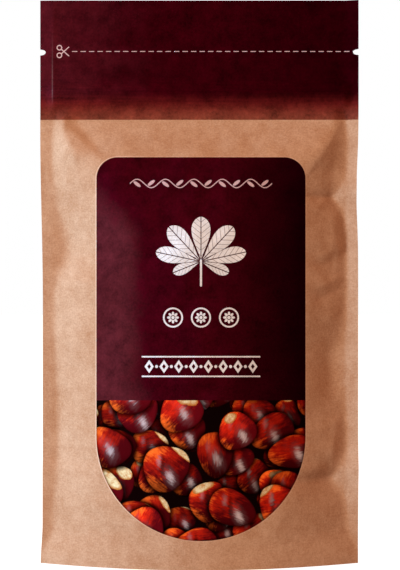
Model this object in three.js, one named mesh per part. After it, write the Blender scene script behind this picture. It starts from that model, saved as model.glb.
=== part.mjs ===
// A sealed stand-up pouch of kraft laminate, filled with loose conkers.
// Millimetres, +Z up, +X to the viewer's right, the printed front faces -Y.
// The origin is the middle of the oval that the pouch stands on.
import * as THREE from 'three';

// Driving dimensions
const HEIGHT = 281;
const HALF_WIDTH = 79.5;         // at the head; the filled part draws the edges in
const SEAL_WIDTH = 6.2;          // side seals
const SHEET = 0.6;               // thickness of a laminate sheet in these solids
const GAP = 0.35;                // clearance between sheets that touch
const RIM_DEPTH = 20;            // half depth of the oval that the pouch stands on
const BELLY_DEPTH = 25.5;        // half depth of the filled part
const RIM_POWER = 1.85;
const BELLY_POWER = 2.1;
const SHOULDER_CROWN = 0.3;      // how much the shoulder falls away to its sides
const SHOULDER_ROUND = 1.6;      // softness of the line between shoulder and belly
const SEAL_CURL = 0.9;           // how far the side seals curl forward
const FOLD_HEIGHT = 43;          // where the gusset's fold meets the side seals
const FLOOR_SEAL = 4;            // height of the gusset's seal at the middle of the rim
const ZIP_HEIGHT = 233;
const ZIP_HALF_LENGTH = 71.5;
const ZIP_DEPTH = 2.2;           // half depth of the closed zip with its panels
const NOTCH_HEIGHT = 255.1;
const NOTCH_DEPTH = 2.7;
const NOTCH_HALF_HEIGHT = 1.6;
const CONKER_COUNT = 30;
const CONKER_RADIUS = [12.4, 13.6];
const CONKER_SPACE = 0.35;       // air kept round each conker
const SETTLING_STEPS = 900;

// The shoulder slopes from the belly up to the zip: [height, half depth]
const SHOULDER = [[120, 34], [150, 27], [168, 22.8], [181, 20], [193, 16.8], [202, 13.4], [208, 9.6],
    [213, 6], [218, 2.8], [223, 1.1], [246, 0.4], [264, 0]];

// Dents are places where the filled part stops short of the side seal. Folds run from [x, z] to [x, z].
const FRONT = {
    direction: -1,
    leftDents: [
        { at: 156, depth: 7.8, below: 12, above: 22, power: 2 },
        { at: 70, depth: 2.3, below: 30, above: 30, power: 2 },
    ],
    rightDents: [
        { at: 182.5, depth: 6.8, below: 6, above: 5.5, power: 1 },
        { at: 99, depth: 7.6, below: 20, above: 18, power: 2 },
        { at: 42.5, depth: 8.5, below: 10, above: 7, power: 1.3 },
    ],
    folds: [
        { from: [74, 154], to: [61, 149], height: -1.3, left: 4, right: 6 },
        { from: [74, 139], to: [61, 133], height: -1.3, left: 5, right: 4 },
        { from: [-40, 183], to: [-29, 150], height: 0.9, left: 9, right: 12 },
        { from: [50, 188], to: [22, 158], height: -0.9, left: 12, right: 10 },
    ],
};
const BACK = {
    direction: 1,
    leftDents: [
        { at: 118, depth: 6, below: 18, above: 12, power: 2 },
        { at: 176, depth: 5, below: 7, above: 7, power: 1 },
    ],
    rightDents: [
        { at: 150, depth: 6.5, below: 14, above: 20, power: 2 },
        { at: 74, depth: 4, below: 9, above: 12, power: 1.3 },
    ],
    folds: [
        { from: [-74, 168], to: [-58, 160], height: -1.2, left: 5, right: 6 },
        { from: [74, 118], to: [60, 110], height: -1.2, left: 5, right: 5 },
        { from: [-30, 190], to: [34, 196], height: -0.8, left: 9, right: 12 },
    ],
};

// Grid lines shared by the sheets: parts of the half width, and heights
const COLUMNS = [-1, -0.96, -0.92, -0.86, -0.79, -0.71, -0.62, -0.52, -0.41, -0.29, -0.15, 0,
    0.15, 0.29, 0.41, 0.52, 0.62, 0.71, 0.79, 0.86, 0.92, 0.96, 1];
const ROWS = [0, 5, 11, 19, 28, 37, 46, 53, 60, 68, 78, 90, 103, 116, 128, 138, 148, 158, 168, 176, 183, 190,
    197, 204, 210, 216, 222, 227.5, 229.5, 236.5, 239, 246, 253.5, 254.4, 255.8, 256.7, 268, HEIGHT];

const KRAFT = new THREE.MeshStandardMaterial({ color: 0xc48a63, roughness: 0.85, metalness: 0 });
const ZIP_PLASTIC = new THREE.MeshStandardMaterial({ color: 0xe8e4dc, roughness: 0.5, metalness: 0 });
const CONKER_SKIN = new THREE.MeshStandardMaterial({ color: 0x5a1c0c, roughness: 0.25, metalness: 0 });

const smooth = THREE.MathUtils.smoothstep;
const bell = (distance, halfWidth) => Math.exp(-((distance / halfWidth) ** 2));

// Side edges of the sheets as flat outlines, with the tear notches left out
function leftEdge(z) {
    return -HALF_WIDTH + 1.3 * (1 - smooth(z, 130, 215)) - 0.9 * (1 - smooth(z, 0, 20));
}

function rightEdge(z) {
    return HALF_WIDTH - 0.9 * bell(z - 185, 18) - 0.2 * (1 - smooth(z, 190, 230));
}

function notch(z) {
    return NOTCH_DEPTH * Math.sqrt(Math.max(0, 1 - ((z - NOTCH_HEIGHT) / NOTCH_HALF_HEIGHT) ** 2));
}

// Smooth curve through points [at, value], with slopes taken from each point's neighbours
function through(points, at) {
    const last = points.length - 1;
    if (at <= points[0][0]) return points[0][1];
    if (at >= points[last][0]) return points[last][1];
    const k = points.findIndex((point) => point[0] > at) - 1;
    const slope = (n) => {
        const [low, high] = [points[Math.max(0, n - 1)], points[Math.min(last, n + 1)]];
        return (high[1] - low[1]) / (high[0] - low[0]);
    };
    const width = points[k + 1][0] - points[k][0];
    const t = (at - points[k][0]) / width;
    const turned = (1 - t) * t * width * ((1 - t) * slope(k) - t * slope(k + 1));
    return THREE.MathUtils.lerp(points[k][1], points[k + 1][1], t * t * (3 - 2 * t)) + turned;
}

// Where the filled part ends at each side seal. Near the rim it reaches the edge, as the base opens.
function innerEdge(z, side, face) {
    const edge = side < 0 ? -leftEdge(z) : rightEdge(z);
    const dents = side < 0 ? face.leftDents : face.rightDents;
    const taken = dents.reduce((sum, { at, depth, below, above, power }) => {
        return sum + depth * Math.exp(-((Math.abs(z - at) / (z < at ? below : above)) ** power));
    }, 0);
    return edge - SEAL_WIDTH * smooth(z, 2, 19) - taken * smooth(z, 20, 42);
}

function fold({ from, to, height, left, right }, x, z) {
    const run = [to[0] - from[0], to[1] - from[1]];
    const length = Math.hypot(...run);
    const along = ((x - from[0]) * run[0] + (z - from[1]) * run[1]) / (length * length);
    const across = ((x - from[0]) * run[1] - (z - from[1]) * run[0]) / length;
    const beyond = Math.max(0, Math.abs(along - 0.5) - 0.5) * length;
    const side = across < 0 ? left : right;
    return height * Math.exp(-Math.abs(across) / side) * bell(beyond, side);
}

// Half depth of the sealed layers alone: four sheets beside the gusset's fold, and two above it
function sealDepth(z) {
    return SHEET + GAP / 2 + (SHEET + GAP) * (1 - smooth(z, FOLD_HEIGHT + 3, FOLD_HEIGHT + 10));
}

// Extra half depth over the closed zip, which fades just above, below and beyond it
function zipDepth(x, z) {
    const upright = 1 - smooth(Math.abs(z - ZIP_HEIGHT), 3.6, 7.5);
    return (ZIP_DEPTH - sealDepth(z)) * upright * (1 - smooth(Math.abs(x), ZIP_HALF_LENGTH + 0.6, 77));
}

// Distance from the middle plane to the outer face of a panel
function depthAt(x, z, face) {
    const across = Math.min(1, Math.abs(x) / innerEdge(z, Math.sign(x) || 1, face));
    const full = 1 - across ** THREE.MathUtils.lerp(RIM_POWER, BELLY_POWER, smooth(z, 0, 30));
    const belly = THREE.MathUtils.lerp(RIM_DEPTH, BELLY_DEPTH, smooth(z, 0, 70)) * full;
    const shoulder = through(SHOULDER, z) * (1 - SHOULDER_CROWN * across ** 2);
    const lower = Math.min(belly, shoulder);
    const rounding = SHOULDER_ROUND * Math.log1p(Math.exp(-Math.abs(belly - shoulder) / SHOULDER_ROUND));
    const creases = face.folds.reduce((sum, crease) => sum + fold(crease, x, z), 0) * Math.min(1, full * 6);
    return sealDepth(z) + Math.max(0, lower - rounding + creases, zipDepth(x, z));
}

// How far all the sheets lie forward of the middle plane, along the side seals
function curl(x, z) {
    return -SEAL_CURL * smooth(Math.abs(x), HALF_WIDTH - SEAL_WIDTH - 1, HALF_WIDTH) * smooth(z, 12, 45);
}

// A closed thin sheet between two grids of points. The outer grid's rows and columns turn outwards.
function sheetBetween(outer, inner) {
    const columns = outer.length;
    const rows = outer[0].length;
    const positions = [outer, inner].flatMap((grid) => grid.flatMap((column) => column.flat()));
    const at = (layer, i, j) => layer * columns * rows + i * rows + j;
    const index = [];
    const quad = (a, b, c, d) => index.push(a, b, c, a, c, d);
    for (let i = 0; i < columns - 1; i++) {
        for (let j = 0; j < rows - 1; j++) {
            quad(at(0, i, j), at(0, i + 1, j), at(0, i + 1, j + 1), at(0, i, j + 1));
            quad(at(1, i, j), at(1, i, j + 1), at(1, i + 1, j + 1), at(1, i + 1, j));
        }
        quad(at(0, i, 0), at(1, i, 0), at(1, i + 1, 0), at(0, i + 1, 0));
        quad(at(0, i + 1, rows - 1), at(1, i + 1, rows - 1), at(1, i, rows - 1), at(0, i, rows - 1));
    }
    for (let j = 0; j < rows - 1; j++) {
        quad(at(0, 0, j + 1), at(1, 0, j + 1), at(1, 0, j), at(0, 0, j));
        const end = columns - 1;
        quad(at(0, end, j), at(1, end, j), at(1, end, j + 1), at(0, end, j + 1));
    }
    const geometry = new THREE.BufferGeometry();
    geometry.setAttribute('position', new THREE.Float32BufferAttribute(positions, 3));
    geometry.setIndex(index);
    geometry.computeVertexNormals();
    return geometry;
}

// x of a grid line, with the notches cut in at the two outer lines
function columnX(part, z) {
    const edge = part < 0 ? leftEdge(z) : rightEdge(z);
    const x = Math.abs(part) * edge;
    if (Math.abs(part) < 1) return x * 0.985;
    return part < 0 ? x + notch(z) : x - notch(z);
}

function panelGeometry(face) {
    const parts = face.direction < 0 ? COLUMNS : [...COLUMNS].reverse();
    const grid = (inset) => parts.map((part) => ROWS.map((z) => {
        const x = columnX(part, z);
        return [x, curl(x, z) + face.direction * (depthAt(x, z, face) - inset), z];
    }));
    return sheetBetween(grid(0), grid(SHEET));
}

// Height at which the gusset leaves the panels, higher towards the side seals
function gussetSeal(x) {
    return FLOOR_SEAL + (FOLD_HEIGHT - FLOOR_SEAL) * Math.min(1, Math.abs(x) / 77) ** 2.4;
}

// Half depth of the gusset's middle line, which follows the facets of a panel between its rows
function gussetHalfDepth(part, z, face) {
    const above = Math.max(1, ROWS.findIndex((row) => row >= z));
    const [low, high] = [ROWS[above - 1], ROWS[above]];
    const depths = [low, high].map((row) => depthAt(columnX(part, row), row, face));
    return THREE.MathUtils.mapLinear(z, low, high, ...depths) - SHEET - GAP - SHEET / 2;
}

// How far the gusset's floor rises over its seal
const floorRise = (half) => half / (1 + half / 5);

// The gusset's middle line in one column: up the front panel, over the floor and down the back panel
function gussetSection(part) {
    const seal = gussetSeal(columnX(part, 0));
    const skirt = [0, 0.25, 0.5, 0.75].map((share) => share * seal);
    const front = skirt.map((z) => [-gussetHalfDepth(part, z, FRONT), z]);
    const back = skirt.map((z) => [gussetHalfDepth(part, z, BACK), z]).reverse();
    const steps = 12;
    const floor = Array.from({ length: steps + 1 }, (_, step) => {
        const angle = Math.PI * (1 - step / steps);
        const half = gussetHalfDepth(part, seal, angle > Math.PI / 2 ? FRONT : BACK);
        const power = 2 / (2 + 0.8 * Math.min(1, half / 10));
        const y = half * Math.sign(Math.cos(angle)) * Math.abs(Math.cos(angle)) ** power;
        return [y, seal + floorRise(half) * Math.sin(angle) ** power];
    });
    return [...front, ...floor, ...back];
}

// The section moved by an offset to its left, square to its run
function offsetSection(section, offset) {
    return section.map(([y, z], k) => {
        const before = section[Math.max(0, k - 1)];
        const after = section[Math.min(section.length - 1, k + 1)];
        const run = [after[0] - before[0], after[1] - before[1]];
        const length = Math.hypot(...run);
        const isRim = k === 0 || k === section.length - 1;
        return [y - offset * run[1] / length, isRim ? 0 : z + offset * run[0] / length];
    });
}

function gussetGeometry() {
    const parts = COLUMNS.map((part) => Math.max(-0.985, Math.min(0.985, part)));
    const grid = (offset) => parts.map((part) => {
        return offsetSection(gussetSection(part), offset).map(([y, z]) => {
            const x = columnX(part, z);
            return [x, y + curl(x, z), z];
        });
    });
    return sheetBetween(grid(SHEET / 2), grid(-SHEET / 2));
}

// A strip with the same section all along the zip
function zipStrip(outline) {
    const shape = new THREE.Shape(outline.map(([y, z]) => new THREE.Vector2(y, z)));
    const geometry = new THREE.ExtrudeGeometry(shape, { depth: 2 * ZIP_HALF_LENGTH, bevelEnabled: false });
    geometry.rotateX(Math.PI / 2);
    geometry.rotateZ(Math.PI / 2);
    geometry.translate(-ZIP_HALF_LENGTH, 0, ZIP_HEIGHT);
    return geometry;
}

// The rib has an arrow head, and its tape lies on the front panel
function ribStrip() {
    return zipStrip([[-1.3, -3.2], [-0.8, -3.2], [-0.8, -0.35], [0.1, -0.35], [0.1, -0.9], [0.5, -0.3],
        [0.5, 0.3], [0.1, 0.9], [0.1, 0.35], [-0.8, 0.35], [-0.8, 3.2], [-1.3, 3.2]]);
}

// The channel has two hooks that close behind the arrow head, and its tape lies on the back panel
function channelStrip() {
    return zipStrip([[1.3, -3.2], [1.3, 3.2], [0.8, 3.2], [0.8, 1.9], [-0.5, 1.9], [-0.5, 0.65], [-0.2, 0.65],
        [-0.2, 1.2], [0.8, 1.2], [0.8, -1.2], [-0.2, -1.2], [-0.2, -0.65], [-0.5, -0.65], [-0.5, -1.9],
        [0.8, -1.9], [0.8, -3.2]]);
}

// Repeatable random numbers from 0 to 1
function randomSource(seed) {
    let state = seed;
    return () => {
        state = (state * 1664525 + 1013904223) % 4294967296;
        return state / 4294967296;
    };
}

// The room between a point inside and one panel, and the way back inside
function panelWall({ x, y, z }, face) {
    const step = 0.5;
    const slopeX = (depthAt(x + step, z, face) - depthAt(x - step, z, face)) / (2 * step);
    const slopeZ = (depthAt(x, z + step, face) - depthAt(x, z - step, face)) / (2 * step);
    const inward = new THREE.Vector3(slopeX, -face.direction, slopeZ);
    const room = (depthAt(x, z, face) - SHEET - face.direction * y) / inward.length();
    return { room, inward: inward.normalize() };
}

// The same for the gusset's floor
function floorWall({ x, z }) {
    const step = 0.5;
    const height = (at) => {
        const seal = gussetSeal(at);
        return seal + floorRise(depthAt(at, seal, FRONT) - 1.5 * SHEET - GAP) + SHEET / 2;
    };
    const inward = new THREE.Vector3((height(x - step) - height(x + step)) / (2 * step), 0, 1);
    return { room: (z - height(x)) / inward.length(), inward: inward.normalize() };
}

// Pushes conkers off each other and off the walls, once round
function separate(conkers) {
    conkers.forEach((conker, first) => {
        for (const other of conkers.slice(first + 1)) {
            const between = other.centre.clone().sub(conker.centre);
            const overlap = conker.radius + other.radius + CONKER_SPACE - between.length();
            if (overlap <= 0) continue;
            between.normalize().multiplyScalar(overlap / 2);
            other.centre.add(between);
            conker.centre.sub(between);
        }
    });
    for (const conker of conkers) {
        const { centre } = conker;
        for (const wall of [panelWall(centre, FRONT), panelWall(centre, BACK), floorWall(centre)]) {
            const overlap = conker.radius + CONKER_SPACE - wall.room;
            if (overlap > 0) centre.addScaledVector(wall.inward, overlap);
        }
    }
}

// Drops the conkers into the pouch, and lets them settle
function settledConkers() {
    const random = randomSource(7);
    const place = (n) => [-45 + 30 * (n % 4) + 6 * random(), n % 2 ? 6 : -6, 34 + 22 * Math.floor(n / 4)];
    const conkers = Array.from({ length: CONKER_COUNT }, (_, n) => ({
        radius: THREE.MathUtils.lerp(...CONKER_RADIUS, random()),
        centre: new THREE.Vector3(...place(n)),
        turn: new THREE.Euler(6.3 * random(), 6.3 * random(), 6.3 * random()),
    }));
    for (let step = 0; step < SETTLING_STEPS; step++) {
        const fall = 0.5 * (1 - step / SETTLING_STEPS);
        for (const conker of conkers) conker.centre.z -= fall;
        separate(conkers);
        separate(conkers);
    }
    for (let step = 0; step < 200; step++) separate(conkers);
    return conkers;
}

// A conker is a squat ball, flattened at the pale scar that faces its own -Z
function conkerGeometry(radius) {
    const geometry = new THREE.IcosahedronGeometry(radius, 2);
    const position = geometry.getAttribute('position');
    const point = new THREE.Vector3();
    for (let n = 0; n < position.count; n++) {
        point.fromBufferAttribute(position, n);
        const down = -point.z / radius;
        const wide = Math.hypot(point.x, point.y) / radius;
        point.z *= 0.93 - 0.16 * smooth(down, 0.3, 1);
        point.multiplyScalar(1 - 0.03 * wide * Math.cos(3 * Math.atan2(point.y, point.x)) - 0.03);
        position.setXYZ(n, point.x, point.y, point.z);
    }
    return geometry;
}

function named(name, geometry, material) {
    const mesh = new THREE.Mesh(geometry, material);
    mesh.name = name;
    return mesh;
}

function conkerMesh({ radius, centre, turn }, n) {
    const mesh = named(`conker_${String(n + 1).padStart(2, '0')}`, conkerGeometry(radius), CONKER_SKIN);
    mesh.position.copy(centre);
    mesh.rotation.copy(turn);
    return mesh;
}

const contents = new THREE.Group();
settledConkers().forEach((conker, n) => contents.add(conkerMesh(conker, n)));

const pouch = new THREE.Group();
pouch.add(named('front_panel', panelGeometry(FRONT), KRAFT));
pouch.add(named('back_panel', panelGeometry(BACK), KRAFT));
pouch.add(named('bottom_gusset', gussetGeometry(), KRAFT));
pouch.add(named('zip_rib_strip', ribStrip(), ZIP_PLASTIC));
pouch.add(named('zip_channel_strip', channelStrip(), ZIP_PLASTIC));
pouch.add(contents);

export default pouch;
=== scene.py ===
"""The looks of a sealed stand-up pouch of printed kraft laminate, filled with loose conkers.

Sizes are in millimetres, and become metres when a mesh is made. +Z is up, +X is to the viewer's right,
and the printed front faces -Y. The pouch's form repeats the model's: a flat-sided belly under a sloping
shoulder, side seals, a closed zip and a head seal.
"""

import logging
import math
from collections.abc import Sequence
from dataclasses import dataclass, field
from enum import Enum

import bpy
import numpy as np
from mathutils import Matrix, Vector


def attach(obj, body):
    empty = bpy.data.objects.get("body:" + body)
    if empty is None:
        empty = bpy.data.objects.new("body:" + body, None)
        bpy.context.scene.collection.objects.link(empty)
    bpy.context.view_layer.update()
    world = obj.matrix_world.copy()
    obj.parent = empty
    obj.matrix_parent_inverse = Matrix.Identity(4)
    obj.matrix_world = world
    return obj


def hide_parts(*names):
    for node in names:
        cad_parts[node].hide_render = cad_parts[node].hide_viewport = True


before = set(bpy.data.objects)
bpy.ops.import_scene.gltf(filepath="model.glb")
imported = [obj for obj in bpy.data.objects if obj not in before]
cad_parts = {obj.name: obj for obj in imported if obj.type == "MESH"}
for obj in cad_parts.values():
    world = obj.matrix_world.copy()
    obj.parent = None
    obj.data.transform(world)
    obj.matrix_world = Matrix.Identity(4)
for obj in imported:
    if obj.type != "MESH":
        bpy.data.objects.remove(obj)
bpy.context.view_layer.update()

MM = 0.001
SHEET_SPAN = 300.0  # millimetres of flat sheet across one unit of its UV map
LOG = logging.getLogger("pouch")

Array = np.ndarray
Colour = tuple[int, int, int]


def srgb(colour: Colour) -> tuple[float, float, float, float]:
    """Turns a display colour into the linear one that a shader takes.

    Args:
        colour: Red, green and blue from 0 to 255.

    Returns:
        Linear red, green and blue, with an alpha of 1.
    """
    shares = [channel / 255 for channel in colour]
    linear = [s / 12.92 if s <= 0.04045 else ((s + 0.055) / 1.055) ** 2.4 for s in shares]
    return (linear[0], linear[1], linear[2], 1.0)


def smooth(value: Array, low: float, high: float) -> Array:
    """Rises smoothly from 0 at low to 1 at high."""
    share = np.clip((value - low) / (high - low), 0, 1)
    return share * share * (3 - 2 * share)


def through(points: Sequence[tuple[float, float]], at: Array) -> Array:
    """Follows a smooth curve through points, with slopes taken from each point's neighbours.

    Args:
        points: Places and the values there, in rising order.
        at: Places to give a value for.

    Returns:
        The curve's values, level beyond the first and last points.
    """
    places, values = np.array(points, float).T
    before = np.maximum(np.arange(len(places)) - 1, 0)
    after = np.minimum(np.arange(len(places)) + 1, len(places) - 1)
    slopes = (values[after] - values[before]) / (places[after] - places[before])
    inside = np.clip(at, places[0], places[-1])
    k = np.clip(np.searchsorted(places, inside, side="right") - 1, 0, len(places) - 2)
    width = places[k + 1] - places[k]
    t = (inside - places[k]) / width
    turned = (1 - t) * t * width * ((1 - t) * slopes[k] - t * slopes[k + 1])
    return values[k] + (values[k + 1] - values[k]) * t * t * (3 - 2 * t) + turned


class Side(Enum):
    """The two side seals."""

    LEFT = -1
    RIGHT = 1


@dataclass(frozen=True)
class Dent:
    """A place where the filled part stops short of the side seal.

    Attributes:
        at: Height of its middle.
        depth: How far in it reaches.
        below: How far it spreads down.
        above: How far it spreads up.
        power: 1 for a sharp dent, 2 for a round one.
    """

    at: float
    depth: float
    below: float
    above: float
    power: float = 2.0

    def taken(self, z: Array) -> Array:
        """Gives how far in the dent reaches at heights z."""
        spread = np.where(z < self.at, self.below, self.above)
        return self.depth * np.exp(-((np.abs(z - self.at) / spread) ** self.power))


@dataclass(frozen=True)
class Fold:
    """A crease with a sharp or rounded crest.

    Attributes:
        start: Its first end, as x and z.
        end: Its other end.
        height: Height of the crest, or the depth of a valley if negative.
        left: Spread on the left of its run.
        right: Spread on the right of its run.
        crest: Half width of the crest's rounding, or 0 for a sharp one.
    """

    start: tuple[float, float]
    end: tuple[float, float]
    height: float
    left: float
    right: float
    crest: float = 0.0

    def raised(self, x: Array, z: Array) -> Array:
        """Gives the fold's height at points of the sheet.

        Args:
            x: Places across the sheet.
            z: Heights.

        Returns:
            Heights of the fold, below 0 in a valley.
        """
        run_x, run_z = self.end[0] - self.start[0], self.end[1] - self.start[1]
        length = math.hypot(run_x, run_z)
        along = ((x - self.start[0]) * run_x + (z - self.start[1]) * run_z) / length**2
        across = ((x - self.start[0]) * run_z - (z - self.start[1]) * run_x) / length
        beyond = np.maximum(0, np.abs(along - 0.5) - 0.5) * length
        spread = np.where(across < 0, self.left, self.right)
        distance = np.sqrt(across**2 + self.crest**2) - self.crest
        return self.height * np.exp(-distance / spread) * np.exp(-((beyond / spread) ** 2))


@dataclass(frozen=True)
class Pucker:
    """A place where the right side seal is drawn forward beside a dent.

    Attributes:
        at: Height of its middle.
        spread: How far it spreads up and down.
        start: Where it starts, from the middle.
        reach: How far from there it takes to come forward.
        forward: How far it comes forward.
    """

    at: float
    spread: float
    start: float
    reach: float
    forward: float

    def drawn(self, x: Array, z: Array) -> Array:
        """Gives how far forward points of the sheets are drawn."""
        share = np.clip((x - self.start) / self.reach, 0, 1)
        return self.forward * share * (1.4 - 0.4 * share) * np.exp(-(((z - self.at) / self.spread) ** 2))


@dataclass(frozen=True)
class Face:
    """One side of the pouch.

    Attributes:
        direction: -1 for the front, 1 for the back.
        left_dents: Places where the filled part stops short of the left seal.
        right_dents: The same on the right.
        folds: Creases of the filled part, which the model has too.
        creases: Finer creases of the filled part.
        seal_creases: Fine creases that run on into the side seals.
        left_softness: How gently the filled part leaves the left seal, by height.
        right_softness: The same on the right.
    """

    direction: int
    left_dents: tuple[Dent, ...]
    right_dents: tuple[Dent, ...]
    folds: tuple[Fold, ...]
    creases: tuple[Fold, ...]
    seal_creases: tuple[Fold, ...]
    left_softness: tuple[tuple[float, float], ...]
    right_softness: tuple[tuple[float, float], ...]


FRONT = Face(
    direction=-1,
    left_dents=(Dent(156, 7.8, 12, 22), Dent(70, 2.3, 30, 30)),
    right_dents=(Dent(182.5, 6.8, 6, 5.5, 1), Dent(99, 7.6, 20, 18), Dent(42.5, 8.5, 10, 7, 1.3)),
    folds=(
        Fold((74, 154), (61, 149), -1.3, 4, 6),
        Fold((74, 139), (61, 133), -1.3, 5, 4),
        Fold((-40, 183), (-29, 150), 0.9, 9, 12),
        Fold((50, 188), (22, 158), -0.9, 12, 10),
    ),
    creases=(
        Fold((-66, 218), (-51, 203), 1.1, 6, 5, 0.4),
        Fold((-69.5, 219), (-62.0, 204), 1.1, 3.5, 5, 0.6),
        Fold((-61, 219), (-50, 206), -1.1, 5, 6, 1.2),
        Fold((-70, 188.5), (-60, 189.5), 0.8, 4, 6, 0.3),
        Fold((-70, 139.5), (-59, 140.5), 0.85, 4, 6, 0.3),
        Fold((-69, 206.5), (-64, 204), 0.35, 4, 4, 0.5),
        Fold((-70, 126), (-65, 124.5), 0.35, 4, 4, 0.5),
        Fold((-71, 101), (-61, 96), -0.4, 5, 6, 0.8),
        Fold((-70, 60), (-62, 66), 0.35, 6, 6, 0.8),
        Fold((71.4, 220), (60, 202), 1.2, 4, 8, 0.3),
        Fold((69.5, 214), (67.5, 196), -0.9, 5, 3.5, 1.0),
        Fold((59, 177), (65, 184), 0.6, 2.2, 2.6, 0.3),
        Fold((72.4, 158.5), (63, 154), 1.5, 4, 5, 0.2),
        Fold((72.4, 143.5), (63, 139), 1.4, 4, 5, 0.2),
        Fold((72.4, 127), (65, 123), 0.6, 4, 4, 0.5),
        Fold((68.5, 171), (68, 160), 1.2, 9, 3, 0.8),
        Fold((69, 70), (66, 54), 1.2, 9, 3, 0.8),
        Fold((72, 73), (62, 67), 0.5, 5, 5, 0.6),
        Fold((-22, 211), (-6, 204), 0.3, 7, 6, 1.2),
        Fold((12, 205), (34, 211), -0.3, 6, 7, 1.2),
    ),
    seal_creases=(
        Fold((-73.4, 226), (-73.2, 279), 0.22, 0.8, 1.4, 0.1),
        Fold((73.2, 226), (73.0, 279), 0.14, 1.2, 0.8, 0.1),
        Fold((-71.5, 183), (-76.5, 196), 0.25, 3, 3, 0.5),
        Fold((70, 84), (75, 92), 0.35, 3, 4, 0.5),
    ),
    left_softness=(
        (0, 0.4), (60, 0.5), (135, 0.6), (150, 1.0), (180, 0.8), (200, 0.2), (222, 0.15), (232, 0.05),
    ),
    right_softness=(
        (0, 0.4), (30, 0.4), (44, 0.9), (66, 1.4), (118, 1.4), (132, 0.6),
        (180, 0.5), (205, 1.0), (222, 0.2), (232, 0.05),
    ),
)
BACK = Face(
    direction=1,
    left_dents=(Dent(118, 6, 18, 12), Dent(176, 5, 7, 7, 1)),
    right_dents=(Dent(150, 6.5, 14, 20), Dent(74, 4, 9, 12, 1.3)),
    folds=(
        Fold((-74, 168), (-58, 160), -1.2, 5, 6),
        Fold((74, 118), (60, 110), -1.2, 5, 5),
        Fold((-30, 190), (34, 196), -0.8, 9, 12),
    ),
    creases=(
        Fold((66, 218), (50, 202), 0.9, 6, 5, 0.5),
        Fold((-66, 219), (-52, 204), 0.8, 5, 6, 0.5),
        Fold((70, 186), (58, 189), 0.5, 5, 5, 0.6),
        Fold((-72, 100), (-60, 95), 0.5, 5, 6, 0.6),
        Fold((70, 96), (60, 92), -0.4, 5, 6, 0.8),
        Fold((-70, 60), (-62, 66), 0.4, 6, 6, 0.8),
    ),
    seal_creases=(
        Fold((-69, 172), (-74.5, 181), 0.9, 3.4, 2.2, 0.3),
        Fold((69, 70), (74, 82), 0.7, 2.4, 3.6, 0.3),
    ),
    left_softness=((0, 0.4), (90, 0.9), (150, 0.5), (222, 0.25), (232, 0.05)),
    right_softness=((0, 0.4), (60, 0.5), (135, 1.0), (170, 0.8), (222, 0.25), (232, 0.05)),
)


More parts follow.
